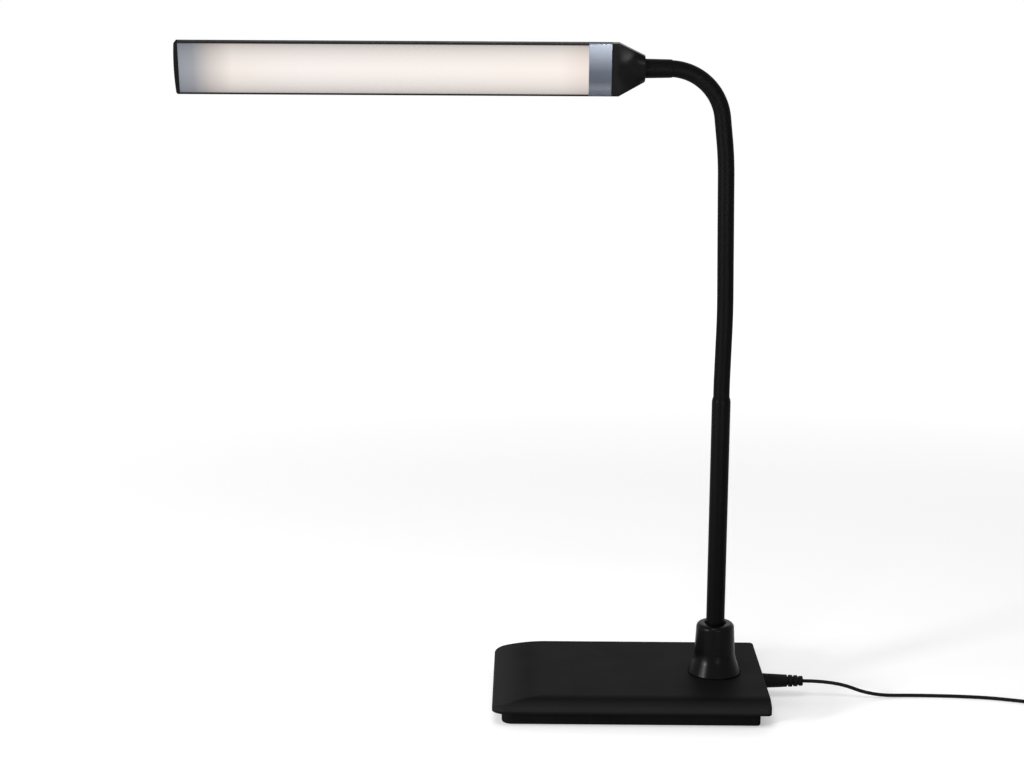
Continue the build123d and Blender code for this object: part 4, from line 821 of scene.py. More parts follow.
@dataclass(frozen=True)
class Studio:
    """White surroundings, a pale floor that keeps the shadow, and the lamps."""

    ambient: float = 0.4
    floor_tone: float = 0.78
    floor_roughness: float = 0.9
    near_lift: float = 0.345
    far_lift: float = 0.69
    near: float = 0.5
    far: float = 1.6
    floor_reach: float = 12.0
    lamps: tuple[Softbox, ...] = (
        Softbox("key_lamp", (-1.067, -0.794, 0.342), (0.0577, 0.0, 0.05), 0.22, 0.22, 15.0),
        Softbox("strip_lamp", (-1.2, -0.5, 0.35), (0.0577, 0.0, 0.3), 0.2, 0.6, 3.5),
        Softbox("low_lamp", (0.24, -1.06, 0.265), (-0.005, 0.0, 0.418), 0.42, 0.42, 0.62, 34.0),
        Softbox("top_lamp", (-0.206, -0.945, 1.288), (0.0, 0.0, 0.3), 0.5, 0.5, 8.0),
        Softbox("back_lamp", (0.2, 1.3, 1.3), (0.0, 0.0, 0.3), 1.0, 1.0, 4.0),
    )

    def build(self) -> None:
        """Add the world, the floor and the lamps."""
        self.build_world()
        self.build_floor()
        for lamp in self.lamps:
            lamp.build()
        bpy.context.scene.view_settings.view_transform = "Standard"

    def seen(self, tree: bpy.types.NodeTree) -> bpy.types.NodeSocket:
        """One where a ray comes from the camera, a reflection or through glass, else zero.

        Args:
            tree: The node tree that asks.

        Returns:
            The greatest of the three Light Path outputs.
        """
        path = tree.nodes.new("ShaderNodeLightPath")
        level = path.outputs["Is Camera Ray"]
        for kind in ("Is Glossy Ray", "Is Transmission Ray"):
            greater = tree.nodes.new("ShaderNodeMath")
            greater.operation = "MAXIMUM"
            tree.links.new(level, greater.inputs[0])
            tree.links.new(path.outputs[kind], greater.inputs[1])
            level = greater.outputs[0]
        return level

    def build_world(self) -> None:
        """Surroundings that look white and light the lamp at the ambient level."""
        world = bpy.data.worlds.new("studio")
        bpy.context.scene.world = world
        world.use_nodes = True
        tree = world.node_tree
        background = tree.nodes["Background"]
        background.inputs["Color"].default_value = WHITE
        level = tree.nodes.new("ShaderNodeMapRange")
        level.inputs["To Min"].default_value = self.ambient
        level.inputs["To Max"].default_value = 1.0
        tree.links.new(self.seen(tree), level.inputs["Value"])
        tree.links.new(level.outputs["Result"], background.inputs["Strength"])

    def build_floor(self) -> None:
        """A pale floor, lifted towards white for the eye and for reflections."""
        half = self.floor_reach / 2
        mesh = bpy.data.meshes.new("floor")
        corners = [(-half, -half, 0), (half, -half, 0), (half, half, 0), (-half, half, 0)]
        mesh.from_pydata(corners, [], [(0, 1, 2, 3)])
        graph = Graph("floor_paper")
        reach = graph.add("ShaderNodeVectorMath", operation="LENGTH")
        graph.link(graph.place(), reach.inputs[0])
        lift = graph.add("ShaderNodeMapRange", interpolation_type="SMOOTHSTEP", From_Min=self.near,
                         From_Max=self.far, To_Min=self.near_lift, To_Max=self.far_lift)
        graph.link(reach.outputs["Value"], lift.inputs["Value"])
        level = graph.add("ShaderNodeMath", operation="MULTIPLY")
        graph.link(self.seen(graph.material.node_tree), level.inputs[0])
        graph.link(lift.outputs["Result"], level.inputs[1])
        graph.surface(Base_Color=(*[self.floor_tone] * 3, 1.0), Roughness=self.floor_roughness,
                      Specular_IOR_Level=0.0, Emission_Color=WHITE, Emission_Strength=level.outputs["Value"])
        mesh.materials.append(graph.material)
        new_object("floor", mesh)


# ---- cord --------------------------------------------------------------------
@dataclass
class PowerCord:
    """The thin cord from the plug in the base, round its coil and on to the wall adapter.

    Lengths are metres and angles degrees. The smooth line cuts the corners of its control points,
    and smooth_share is the share of their length that it keeps.
    """

    radius: float = 0.0012
    route: tuple[tuple[float, float, float], ...] = (
        (0.1171, 0.0, 0.0128),
        (0.139, 0.0, 0.0128),
        (0.164, 0.0015, 0.0022),
        (0.196, 0.0055, 0.00125),
        (0.238, 0.003, 0.00125),
        (0.265, -0.0045, 0.00125),
    )
    lead: tuple[tuple[float, float, float], ...] = (
        (0.3134, -0.036, 0.0092),
        (0.3121, -0.044, 0.0096),
        (0.310, -0.0532, 0.012),
        (0.310, -0.063, 0.012),
    )
    coil_centre: tuple[float, float] = (0.296, -0.0305)
    coil_rings: tuple[float, ...] = (0.0176, 0.0152, 0.0128, 0.0104)
    coil_heights: tuple[float, ...] = (0.0020, 0.0044, 0.0068, 0.0092)
    coil_start: float = 118.0
    coil_end: float = 0.0
    points_per_turn: int = 24
    ring_step: float = 1 / 6
    smooth_share: float = 0.99
    bevel_resolution: int = 5
    steps_per_point: int = 6

    def winding(self) -> tuple[list[float], list[float], list[float]]:
        """Where the wound cord changes ring or layer.

        A layer's turns step from ring to ring in a sixth of a turn each, and the cord then climbs
        to the next layer in the sixth before the layer's own steps, so that no two meet.

        Returns:
            Turns wound so far, ring radius and height at each change.
        """
        step = self.ring_step
        turns, radii, heights = [0.0], [self.coil_rings[0]], [self.coil_heights[0]]
        place = 0.0
        for layer, height in enumerate(self.coil_heights):
            rings = self.coil_rings if layer % 2 == 0 else self.coil_rings[::-1]
            for number, ring in enumerate(rings):
                first, last = number == 0 and layer > 0, number == len(rings) - 1
                place += 1 - step - (step if first or last else 0)
                turns.append(place)
                radii.append(ring)
                heights.append(height)
                if last and layer == len(self.coil_heights) - 1:
                    break
                place += step
                turns.append(place)
                radii.append(ring if last else rings[number + 1])
                heights.append(self.coil_heights[layer + 1] if last else height)
        return turns, radii, heights

    def coil(self) -> np.ndarray:
        """Points of the wound cord, clockwise from above.

        The angle falls evenly, and radius and height follow the winding's changes in straight lines.

        Returns:
            The points in metres, one row each.
        """
        turns, radii, heights = self.winding()
        rest = (self.coil_start - self.coil_end) / 360
        total = math.floor(turns[-1] - rest) + rest
        place = np.linspace(0, total, round(total * self.points_per_turn) + 1)
        radius = np.interp(place, turns, radii)
        angle = math.radians(self.coil_start) - TURN * place
        x = self.coil_centre[0] + radius * np.cos(angle)
        y = self.coil_centre[1] + radius * np.sin(angle)
        return np.stack([x, y, np.interp(place, turns, heights)], -1)

    def points(self) -> np.ndarray:
        """Control points of the whole cord: the route, the coil and the lead."""
        return np.concatenate([np.array(self.route), self.coil(), np.array(self.lead)])

    def length(self) -> float:
        """The cord's real length, to the centimetre.

        Returns:
            The length of the smooth line.
        """
        run = float(np.linalg.norm(np.diff(self.points(), axis=0), axis=1).sum())
        LOG.info("cord: %.3f m along its control points", run)
        return round(run * self.smooth_share, 2)

    def build(self) -> bpy.types.Object:
        """Make the cord as one smooth spline over its control points.

        Returns:
            The cord.
        """
        points = self.points()
        data = bpy.data.curves.new("power_cord_run", "CURVE")
        data.dimensions = "3D"
        data.bevel_depth = self.radius
        data.bevel_resolution = self.bevel_resolution
        data.resolution_u = self.steps_per_point
        data.use_fill_caps = True
        spline = data.splines.new("NURBS")
        spline.points.add(len(points) - 1)
        spline.points.foreach_set("co", np.column_stack([points, np.ones(len(points))]).ravel())
        spline.order_u = 3
        spline.use_endpoint_u = True
        cord = new_object("power_cord_run", data)
        return fit(cord, Finish.CORD, "base", "black_rubber", "power_cord", "cord_coil", "adapter_lead")

    def declare(self) -> None:
        """Log the cord's length along its control points.
        """
        self.length()


# ---- base --------------------------------------------------------------------
@dataclass
class BaseCover:
    """The base's moulded cover: flat top, front slope, left roll, soft mitre and rounded rim.

    The overrun carries the slope's line past the front edge, and the probe is the step over which
    the surface's own slope is read. The corner weight, in millimetres for each radian that the
    plan outline turns, draws its points together at the corners.
    """

    length: float = 180.0
    depth: float = 120.0
    bottom: float = 10.5
    top: float = 19.0
    wall: float = 2.2
    left_corner: float = 8.0
    right_corner: float = 3.0
    bevel_run: float = 11.0
    bevel_drop: float = 3.6
    crease: float = 24.0
    roll_run: float = 34.0
    roll_drop: float = 5.0
    roll_start: float = 1.0
    mitre_power: float = 9.0
    front_nose: float = 3.4
    left_nose: float = 1.8
    back_nose: float = 1.2
    right_nose: float = 0.9
    rim_round: float = 0.3
    hole_x: float = 57.7
    hole_radius: float = 4.98
    overrun: float = 10.0
    slope_steps: int = 40
    roll_points: int = 80
    corner_steps: int = 48
    chord: float = 1.0
    corner_weight: float = 14.0
    around: int = 640
    probe: float = 0.5
    nose_rings: int = 14
    fine_share: float = 0.3
    fine_rings: int = 44
    coarse_rings: int = 40
    rim_steps: tuple[float, ...] = (0.0, 0.1, 0.4, 1.0)
    roof_round: float = 1.0
    under_rings: int = 12

    def height(self, x: np.ndarray, y: np.ndarray) -> np.ndarray:
        """Height of the top surface.

        The front slope's drop and the left roll's drop are each a curve of one coordinate, and the
        root of the sum of their powers joins them in a soft mitre. The slope's line runs on past the
        front edge, and the roll is an arc through the start and the end of its drop.

        Args:
            x: X of the points.
            y: Y of the points.

        Returns:
            Z of the points.
        """
        front, left = -self.depth / 2, -self.length / 2
        start = (front - self.overrun, self.top - self.bevel_drop * (1 + self.overrun / self.bevel_run))
        corners = [start, (front + self.bevel_run, self.top), (self.depth / 2, self.top)]
        side = rounded(corners, [0, self.crease, 0], False, self.slope_steps)
        slope_drop = self.top - np.interp(y, side[:, 0], side[:, 1])
        chord = math.atan2(self.roll_drop, self.roll_run)
        lean = math.radians(self.roll_start)
        radius = math.hypot(self.roll_run, self.roll_drop) / (2 * math.sin(chord - lean))
        angle = np.linspace(2 * chord - lean, lean, self.roll_points)
        roll_x = left + self.roll_run - radius * (np.sin(angle) - math.sin(lean))
        roll_drop = np.interp(x, roll_x, radius * (math.cos(lean) - np.cos(angle)), right=0.0)
        power = self.mitre_power
        return self.top - (slope_drop ** power + roll_drop ** power) ** (1 / power)

    def perimeter(self) -> tuple[np.ndarray, np.ndarray]:
        """Plan outline with its inward normals, closer together at the corners.

        Returns:
            Points and unit normals, one row each.
        """
        x, y = self.length / 2, self.depth / 2
        radii = [self.left_corner, self.right_corner, self.right_corner, self.left_corner]
        outline = rounded_box((-x, -y), (x, y), radii, self.corner_steps)
        outline = spaced(np.vstack([outline, outline[:1]]), self.chord)
        chord = np.diff(outline, axis=0)
        heading = np.unwrap(np.arctan2(chord[:, 1], chord[:, 0]))
        turning = np.abs(np.diff(heading, prepend=heading[0]))
        measure = np.concatenate([[0], np.cumsum(np.hypot(*chord.T) + self.corner_weight * turning)])
        place = np.linspace(0, measure[-1], self.around, endpoint=False)
        points = np.stack([np.interp(place, measure, outline[:, axis]) for axis in (0, 1)], -1)
        tangent = np.roll(points, -1, 0) - np.roll(points, 1, 0)
        tangent /= np.linalg.norm(tangent, axis=1)[:, None]
        return points, np.stack([-tangent[:, 1], tangent[:, 0]], -1)

    def nose(self, edge: np.ndarray, inward: np.ndarray) -> tuple[np.ndarray, np.ndarray]:
        """Rings of the rounded edge, from the top surface down to the side.

        It is an arc between the vertical side and the local slope. Its centre lies one radius
        inwards and the radius over the cosine of the slope below the top surface. The radius goes
        over from one side's to the next with the squares of the normal's parts.

        Args:
            edge: Plan outline.
            inward: Its unit normals.

        Returns:
            X and Y of the rings, and their Z.
        """
        facing = np.stack([inward[:, 1], -inward[:, 1], inward[:, 0], -inward[:, 0]], -1)
        radii = np.array([self.front_nose, self.back_nose, self.left_nose, self.right_nose])
        radius = np.clip(facing, 0, 1) ** 2 @ radii
        probe = edge + inward * self.probe
        level = self.height(*edge.T)
        slope = np.arctan((self.height(*probe.T) - level) / self.probe)
        centre = level + np.tan(slope) * radius - radius / np.cos(slope)
        angle = (math.pi / 2 - slope) * np.linspace(1, 0, self.nose_rings)[:, None]
        plan = edge + inward * (radius * (1 - np.cos(angle)))[..., None]
        return plan, centre + radius * np.sin(angle)

    def rings(self) -> np.ndarray:
        """Rings from the stem's hole out over the top, the nose and the side, and back underneath.

        The top and the roof under it are ruled between an outer ring and the hole's circle at the
        same bearing, and take their height from the top surface. The rings of the top lie closer
        together over the fine share next to its outer ring.

        Returns:
            Points as rings by points by three.
        """
        edge, inward = self.perimeter()
        nose_xy, nose_z = self.nose(edge, inward)
        bearing = np.arctan2(nose_xy[0, :, 1], nose_xy[0, :, 0] - self.hole_x)
        hole = self.hole_radius * np.stack([np.cos(bearing), np.sin(bearing)], -1) + (self.hole_x, 0.0)
        fine = np.linspace(0, self.fine_share, self.fine_rings)
        coarse = np.linspace(self.fine_share, 1, self.coarse_rings)[1:]
        top_xy = nose_xy[0] + (hole - nose_xy[0]) * np.concatenate([fine, coarse])[::-1][:, None, None]
        top_z = self.height(top_xy[..., 0], top_xy[..., 1])
        top_z[-1] = nose_z[0]
        rim = self.rim_round * np.array(self.rim_steps)[:, None]
        inner = edge + inward * self.wall
        roof = self.height(*inner.T) - self.wall - self.roof_round
        under = edge + inward * (self.wall + self.roof_round)
        under_xy = under + (hole - under) * np.linspace(0, 1, self.under_rings)[:, None, None]
        under_z = self.height(under_xy[..., 0], under_xy[..., 1]) - self.wall
        layers = [
            (top_xy, top_z), (nose_xy[1:], nose_z[1:]),
            (edge + inward * rim[..., None], np.repeat(self.bottom + rim[::-1], len(edge), 1)),
            (inner[None], np.full((1, len(edge)), self.bottom)), (inner[None], roof[None]),
            (under_xy, under_z),
        ]
        return np.concatenate([np.concatenate([xy, z[..., None]], -1) for xy, z in layers])

    def build(self) -> None:
        """Make the cover."""
        piece = Skin(self.rings(), loop=True).to_object("base_cover_shell")
        fit(piece, Finish.COVER, "base", "black_moulding", "base_cover")


@dataclass
class BasePad:
    """The foam pad that the lamp stands on; each level is an inset and a height."""

    length: float = 156.0
    depth: float = 95.0
    corner: float = 6.0
    round_steps: int = 12
    levels: tuple[tuple[float, float], ...] = (
        (0.25, 0.0), (0.1, 0.1), (0.0, 0.3), (0.0, 0.7), (0.1, 0.9), (0.25, 1.0),
    )

    def build(self) -> None:
        """Make the pad as plan outlines stacked from the floor up, drawn in at both edges."""
        x, y = self.length / 2, self.depth / 2
        rings = []
        for inset, height in self.levels:
            low, high = (inset - x, inset - y), (x - inset, y - inset)
            outline = rounded_box(low, high, [self.corner - inset] * 4, self.round_steps)
            rings.append(np.column_stack([outline, np.full(len(outline), height)]))
        piece = Skin(np.array(rings)).to_object("base_pad_foam")
        fit(piece, Finish.FOAM, "base", "foam", "base_pad")


@dataclass
class Stem:
    """The hub on the base and the steel tube that stands in it."""

    axis_x: float = 57.7
    foot_radius: float = 17.6
    foot_edge: float = 1.0
    foot_round: float = 0.8
    waist_radius: float = 13.6
    waist_height: float = 30.5
    waist_round: float = 24.0
    top_radius: float = 12.4
    top_height: float = 53.5
    top_round: float = 3.0
    mouth_radius: float = 7.4
    mouth_depth: float = 2.4
    mouth_round: float = 0.4
    bore_round: float = 0.3
    ledge: float = 25.0
    bore: float = 6.18
    hole: float = 4.98
    cover_top: float = 19.0
    tube_radius: float = 6.1
    tube_top: float = 206.5
    lip: float = 3.2
    lip_radius: float = 5.5
    socket: float = 5.38
    socket_depth: float = 8.9
    tube_bore: float = 5.0
    spigot: float = 4.9
    spigot_bore: float = 3.2
    spigot_bottom: float = 10.2
    spigot_floor: float = 2.0
    round_steps: int = 16
    lip_points: int = 9
    hub_chord: float = 1.6
    tube_chord: float = 6.0
    hub_segments: int = 192
    tube_segments: int = 144

    def hub_profile(self) -> np.ndarray:
        """Closed half section of the hub: foot, waist flare, rounded shoulder, dished mouth and bore.

        Returns:
            Radius and height of the points.
        """
        corners = [
            (self.hole, self.cover_top), (self.foot_radius, self.cover_top),
            (self.foot_radius, self.cover_top + self.foot_edge), (self.waist_radius, self.waist_height),
            (self.top_radius, self.top_height), (self.mouth_radius, self.top_height),
            (self.bore, self.top_height - self.mouth_depth), (self.bore, self.ledge), (self.hole, self.ledge),
        ]
        radii = [0, 0, self.foot_round, self.waist_round, self.top_round, self.mouth_round,
                 self.bore_round, 0, 0]
        return spaced_loop(rounded(corners, radii, True, self.round_steps), self.hub_chord)

    def tube_profile(self) -> np.ndarray:
        """Closed half section of the tube: spigot, shoulder, straight wall, drawn-in lip and socket.

        The lip's radius falls with the square of the share of its height.

        Returns:
            Radius and height of the points.
        """
        share = np.linspace(0, 1, self.lip_points)
        lip_radius = self.tube_radius - (self.tube_radius - self.lip_radius) * share ** 2
        lip = np.stack([lip_radius, self.tube_top - self.lip + self.lip * share], -1)
        socket_bottom = self.tube_top - self.socket_depth
        floor = self.ledge + self.spigot_floor
        outside = [(self.spigot_bore, self.spigot_bottom), (self.spigot, self.spigot_bottom),
                   (self.spigot, self.ledge), (self.tube_radius, self.ledge)]
        inside = [(self.socket, self.tube_top), (self.socket, socket_bottom), (self.tube_bore, socket_bottom),
                  (self.tube_bore, floor), (self.spigot_bore, floor)]
        return spaced_loop(np.concatenate([outside, lip, inside]), self.tube_chord)

    def build(self) -> None:
        """Make the hub and the tube."""
        place = Matrix.Translation((self.axis_x, 0, 0))
        hub = Skin(turned(self.hub_profile(), self.hub_segments), loop=True).moved(place)
        fit(hub.to_object("stem_hub_moulding"), Finish.HUB, "base", "black_gloss", "stem_hub")
        tube = Skin(turned(self.tube_profile(), self.tube_segments), loop=True).moved(place)
        fit(tube.to_object("stem_tube_painted"), Finish.PAINT, "base", "black_paint", "stem_tube")


# ---- neck --------------------------------------------------------------------
@dataclass
class Neck:
    """The rubber sleeve and its inner cable, in one length for each body with ball laps at the joints.

    The centre line has its corners in X and Z, each with its round. Joints are distances along it.
    """

    radius: float = 5.3
    bore: float = 4.5
    cable_radius: float = 0.6
    corners: tuple[tuple[float, float], ...] = (
        (57.7, 197.6), (57.7, 215.6), (58.7, 262.0), (56.7, 362.0), (50.33, 417.9), (-6.85, 417.9))
    rounds: tuple[float, ...] = (0.0, 300.0, 600.0, 240.0, 34.5, 0.0)
    sleeve_length: float = 241.0
    first_joint: float = 14.0
    last_joint: float = 234.9
    lower_links: int = 6
    upper_links: int = 5
    upper_spacing: float = 10.0
    lap_step: float = 0.05
    lap_share: float = 0.05
    lap_angle: float = 16.0
    lap_rings: int = 5
    ring_spacing: float = 0.8
    least_rings: int = 3
    segments: int = 120
    round_steps: int = 120
    chord: float = 1.0
    reach: float = 1.0

    def line(self) -> tuple[np.ndarray, np.ndarray]:
        """The neck's centre line in the XZ plane.

        Returns:
            Its points, and the distance along it at each.
        """
        points = spaced(rounded(list(self.corners), list(self.rounds), False, self.round_steps), self.chord)
        steps = np.linalg.norm(np.diff(points, axis=0), axis=1)
        return points, np.concatenate([[0], np.cumsum(steps)])

    def at(self, place: np.ndarray) -> tuple[np.ndarray, np.ndarray]:
        """Position and direction on the centre line.

        The direction is the chord over the reach to either side.

        Args:
            place: Distances along the line.

        Returns:
            Points and unit directions in the XZ plane.
        """
        points, measure = self.line()
        along = [np.interp(np.clip(place + side, 0, measure[-1])[:, None], measure, points[:, axis])
                 for side in (0.0, -self.reach, self.reach) for axis in (0, 1)]
        position, before, after = (np.hstack(along[index:index + 2]) for index in (0, 2, 4))
        chord = after - before
        return position, chord / np.linalg.norm(chord, axis=1)[:, None]

    def circles(self, centre: np.ndarray, direction: np.ndarray, radius: np.ndarray) -> np.ndarray:
        """Rings square to the centre line.

        Args:
            centre: Middle of each ring in the XZ plane.
            direction: Unit direction of the line at each ring.
            radius: Radius of each ring.

        Returns:
            Points as rings by points by three.
        """
        angle = np.linspace(0, TURN, self.segments, endpoint=False)
        side = radius[:, None] * np.cos(angle)
        x = centre[:, :1] + direction[:, 1:] * side
        z = centre[:, 1:] - direction[:, :1] * side
        return np.stack([x, radius[:, None] * np.sin(angle), z], -1)

    def lap(self, joint: np.ndarray, direction: np.ndarray, radius: float, bore: float) -> np.ndarray:
        """Zone of a ball about a joint, which stays inside the next length at any bend.

        The ball is smaller than the length by the lap step, or by the lap share of a thin one. Its
        ring at angle a lies its radius times sin a past the joint and has its radius times cos a.

        Args:
            joint: The joint's place in the XZ plane.
            direction: Unit direction out of this length.
            radius: Radius of the length.
            bore: Radius of its bore, 0 for none.

        Returns:
            Rings from the joint's plane outwards, and the mouth of the bore last.
        """
        ball = radius - min(self.lap_step, radius * self.lap_share)
        angle = np.radians(np.linspace(0, self.lap_angle, self.lap_rings))
        centre = joint + direction * ball * np.sin(angle)[:, None]
        rings = self.circles(centre, np.repeat(direction[None], self.lap_rings, 0), ball * np.cos(angle))
        if bore <= 0:
            return rings
        return np.concatenate([rings, self.circles(centre[-1:], direction[None], np.array([bore]))])

    def length(self, start: float, end: float, radius: float, bore: float,
               laps: tuple[bool, bool]) -> np.ndarray:
        """Rings of one length: its lower lap, its outside, its upper lap and its bore.

        The lower lap runs the other way, so its rings are turned round to start at the same point.

        Args:
            start: Distance along the line where it starts.
            end: Distance along the line where it ends.
            radius: Its radius.
            bore: Radius of its bore, 0 for none.
            laps: Whether it has a lower and an upper lap.

        Returns:
            Points as rings by points by three.
        """
        count = max(self.least_rings, math.ceil((end - start) / self.ring_spacing) + 1)
        centre, direction = self.at(np.linspace(start, end, count))
        layers = [self.circles(centre, direction, np.full(count, radius))]
        if laps[0]:
            lower = self.lap(centre[0], -direction[0], radius, bore)
            layers.insert(0, np.roll(lower[:, ::-1], self.segments // 2 + 1, axis=1)[::-1])
        if laps[1]:
            layers.append(self.lap(centre[-1], direction[-1], radius, bore))
        if bore > 0:
            layers.append(self.circles(centre[::-1], direction[::-1], np.full(count, bore)))
        return np.concatenate(layers)

    def joints(self) -> list[float]:
        """Places of the ball joints: evenly spaced up the rise, then closer together round the bend.

        Returns:
            Their distances along the line.
        """
        bend_start = self.last_joint - self.upper_links * self.upper_spacing
        step = (bend_start - self.first_joint) / self.lower_links
        below = [self.first_joint + index * step for index in range(self.lower_links)]
        return below + [bend_start + index * self.upper_spacing for index in range(self.upper_links + 1)]

    def build(self) -> None:
        """Make a length of sleeve on each body, and a length of cable on each body past the first joint."""
        joints = self.joints()
        bodies = ["base"] + [f"link_{index:02d}" for index in range(1, len(joints))] + ["neck_end"]
        cable_end = float(self.line()[1][-1])
        for index, body in enumerate(bodies):
            first, last = index == 0, index == len(joints)
            start = 0.0 if first else joints[index - 1]
            end = self.sleeve_length if last else joints[index]
            rings = self.length(start, end, self.radius, self.bore, (not first, not last))
            sleeve = Skin(rings, loop=True).to_object(f"neck_sleeve_{index:02d}")
            fit(sleeve, Finish.SLEEVE, body, "black_rubber", "neck_sleeve")
            if not first:
                end = cable_end if last else end
                rings = self.length(start, end, self.cable_radius, 0.0, (True, not last))
                cable = Skin(rings).to_object(f"neck_cable_{index:02d}")
                fit(cable, Finish.SLEEVE, body, "black_rubber", "neck_cable")


# ---- swivel and head ---------------------------------------------------------
@dataclass
class Swivel:
    """The upper ferrule, turned with the hollow spigot that the head turns on."""

    tip_x: float = 21.3
    height: float = 417.9
    tip_radius: float = 5.62
    shoulder_radius: float = 5.78
    end_radius: float = 6.1
    chamfer: float = 1.4
    length: float = 17.05
    socket: float = 5.42
    socket_depth: float = 2.6
    spigot: float = 3.2
    spigot_length: float = 28.15
    groove_start: float = 26.25
    groove_end: float = 26.95
    groove_radius: float = 2.6
    bore: float = 1.9
    bore_step: float = 4.0
    wire_bore: float = 1.2
    tip_round: float = 0.08
    shoulder_round: float = 0.6
    end_round: float = 0.25
    spigot_round: float = 0.3
    round_steps: int = 6
    chord: float = 2.0
    segments: int = 96

    def build(self) -> None:
        """Make the ferrule: chamfered tip, gentle cone, spigot with the clip's groove, and bore.

        Each corner of its section is a radius, a length from the tip and a round.
        """
        bore_start = self.socket_depth + self.bore_step
        section = [
            (self.wire_bore, self.socket_depth, 0), (self.socket, self.socket_depth, 0),
            (self.socket, 0.0, 0), (self.tip_radius, 0.0, self.tip_round),
            (self.shoulder_radius, self.chamfer, self.shoulder_round),
            (self.end_radius, self.length, self.end_round), (self.spigot, self.length, 0),
            (self.spigot, self.groove_start, 0), (self.groove_radius, self.groove_start, 0),
            (self.groove_radius, self.groove_end, 0), (self.spigot, self.groove_end, 0),
            (self.spigot, self.spigot_length, self.spigot_round), (self.bore, self.spigot_length, 0),
            (self.bore, bore_start, 0), (self.wire_bore, bore_start, 0),
        ]
        corners, radii = [corner[:2] for corner in section], [corner[2] for corner in section]
        outline = spaced_loop(rounded(corners, radii, True, self.round_steps), self.chord)
        rings = laid_along_x(turned(outline, self.segments), self.tip_x, -1, self.height)
        piece = Skin(rings, loop=True).to_object("neck_ferrule_turned")
        fit(piece, Finish.SLEEVE, "neck_end", "black_paint", "neck_ferrule")


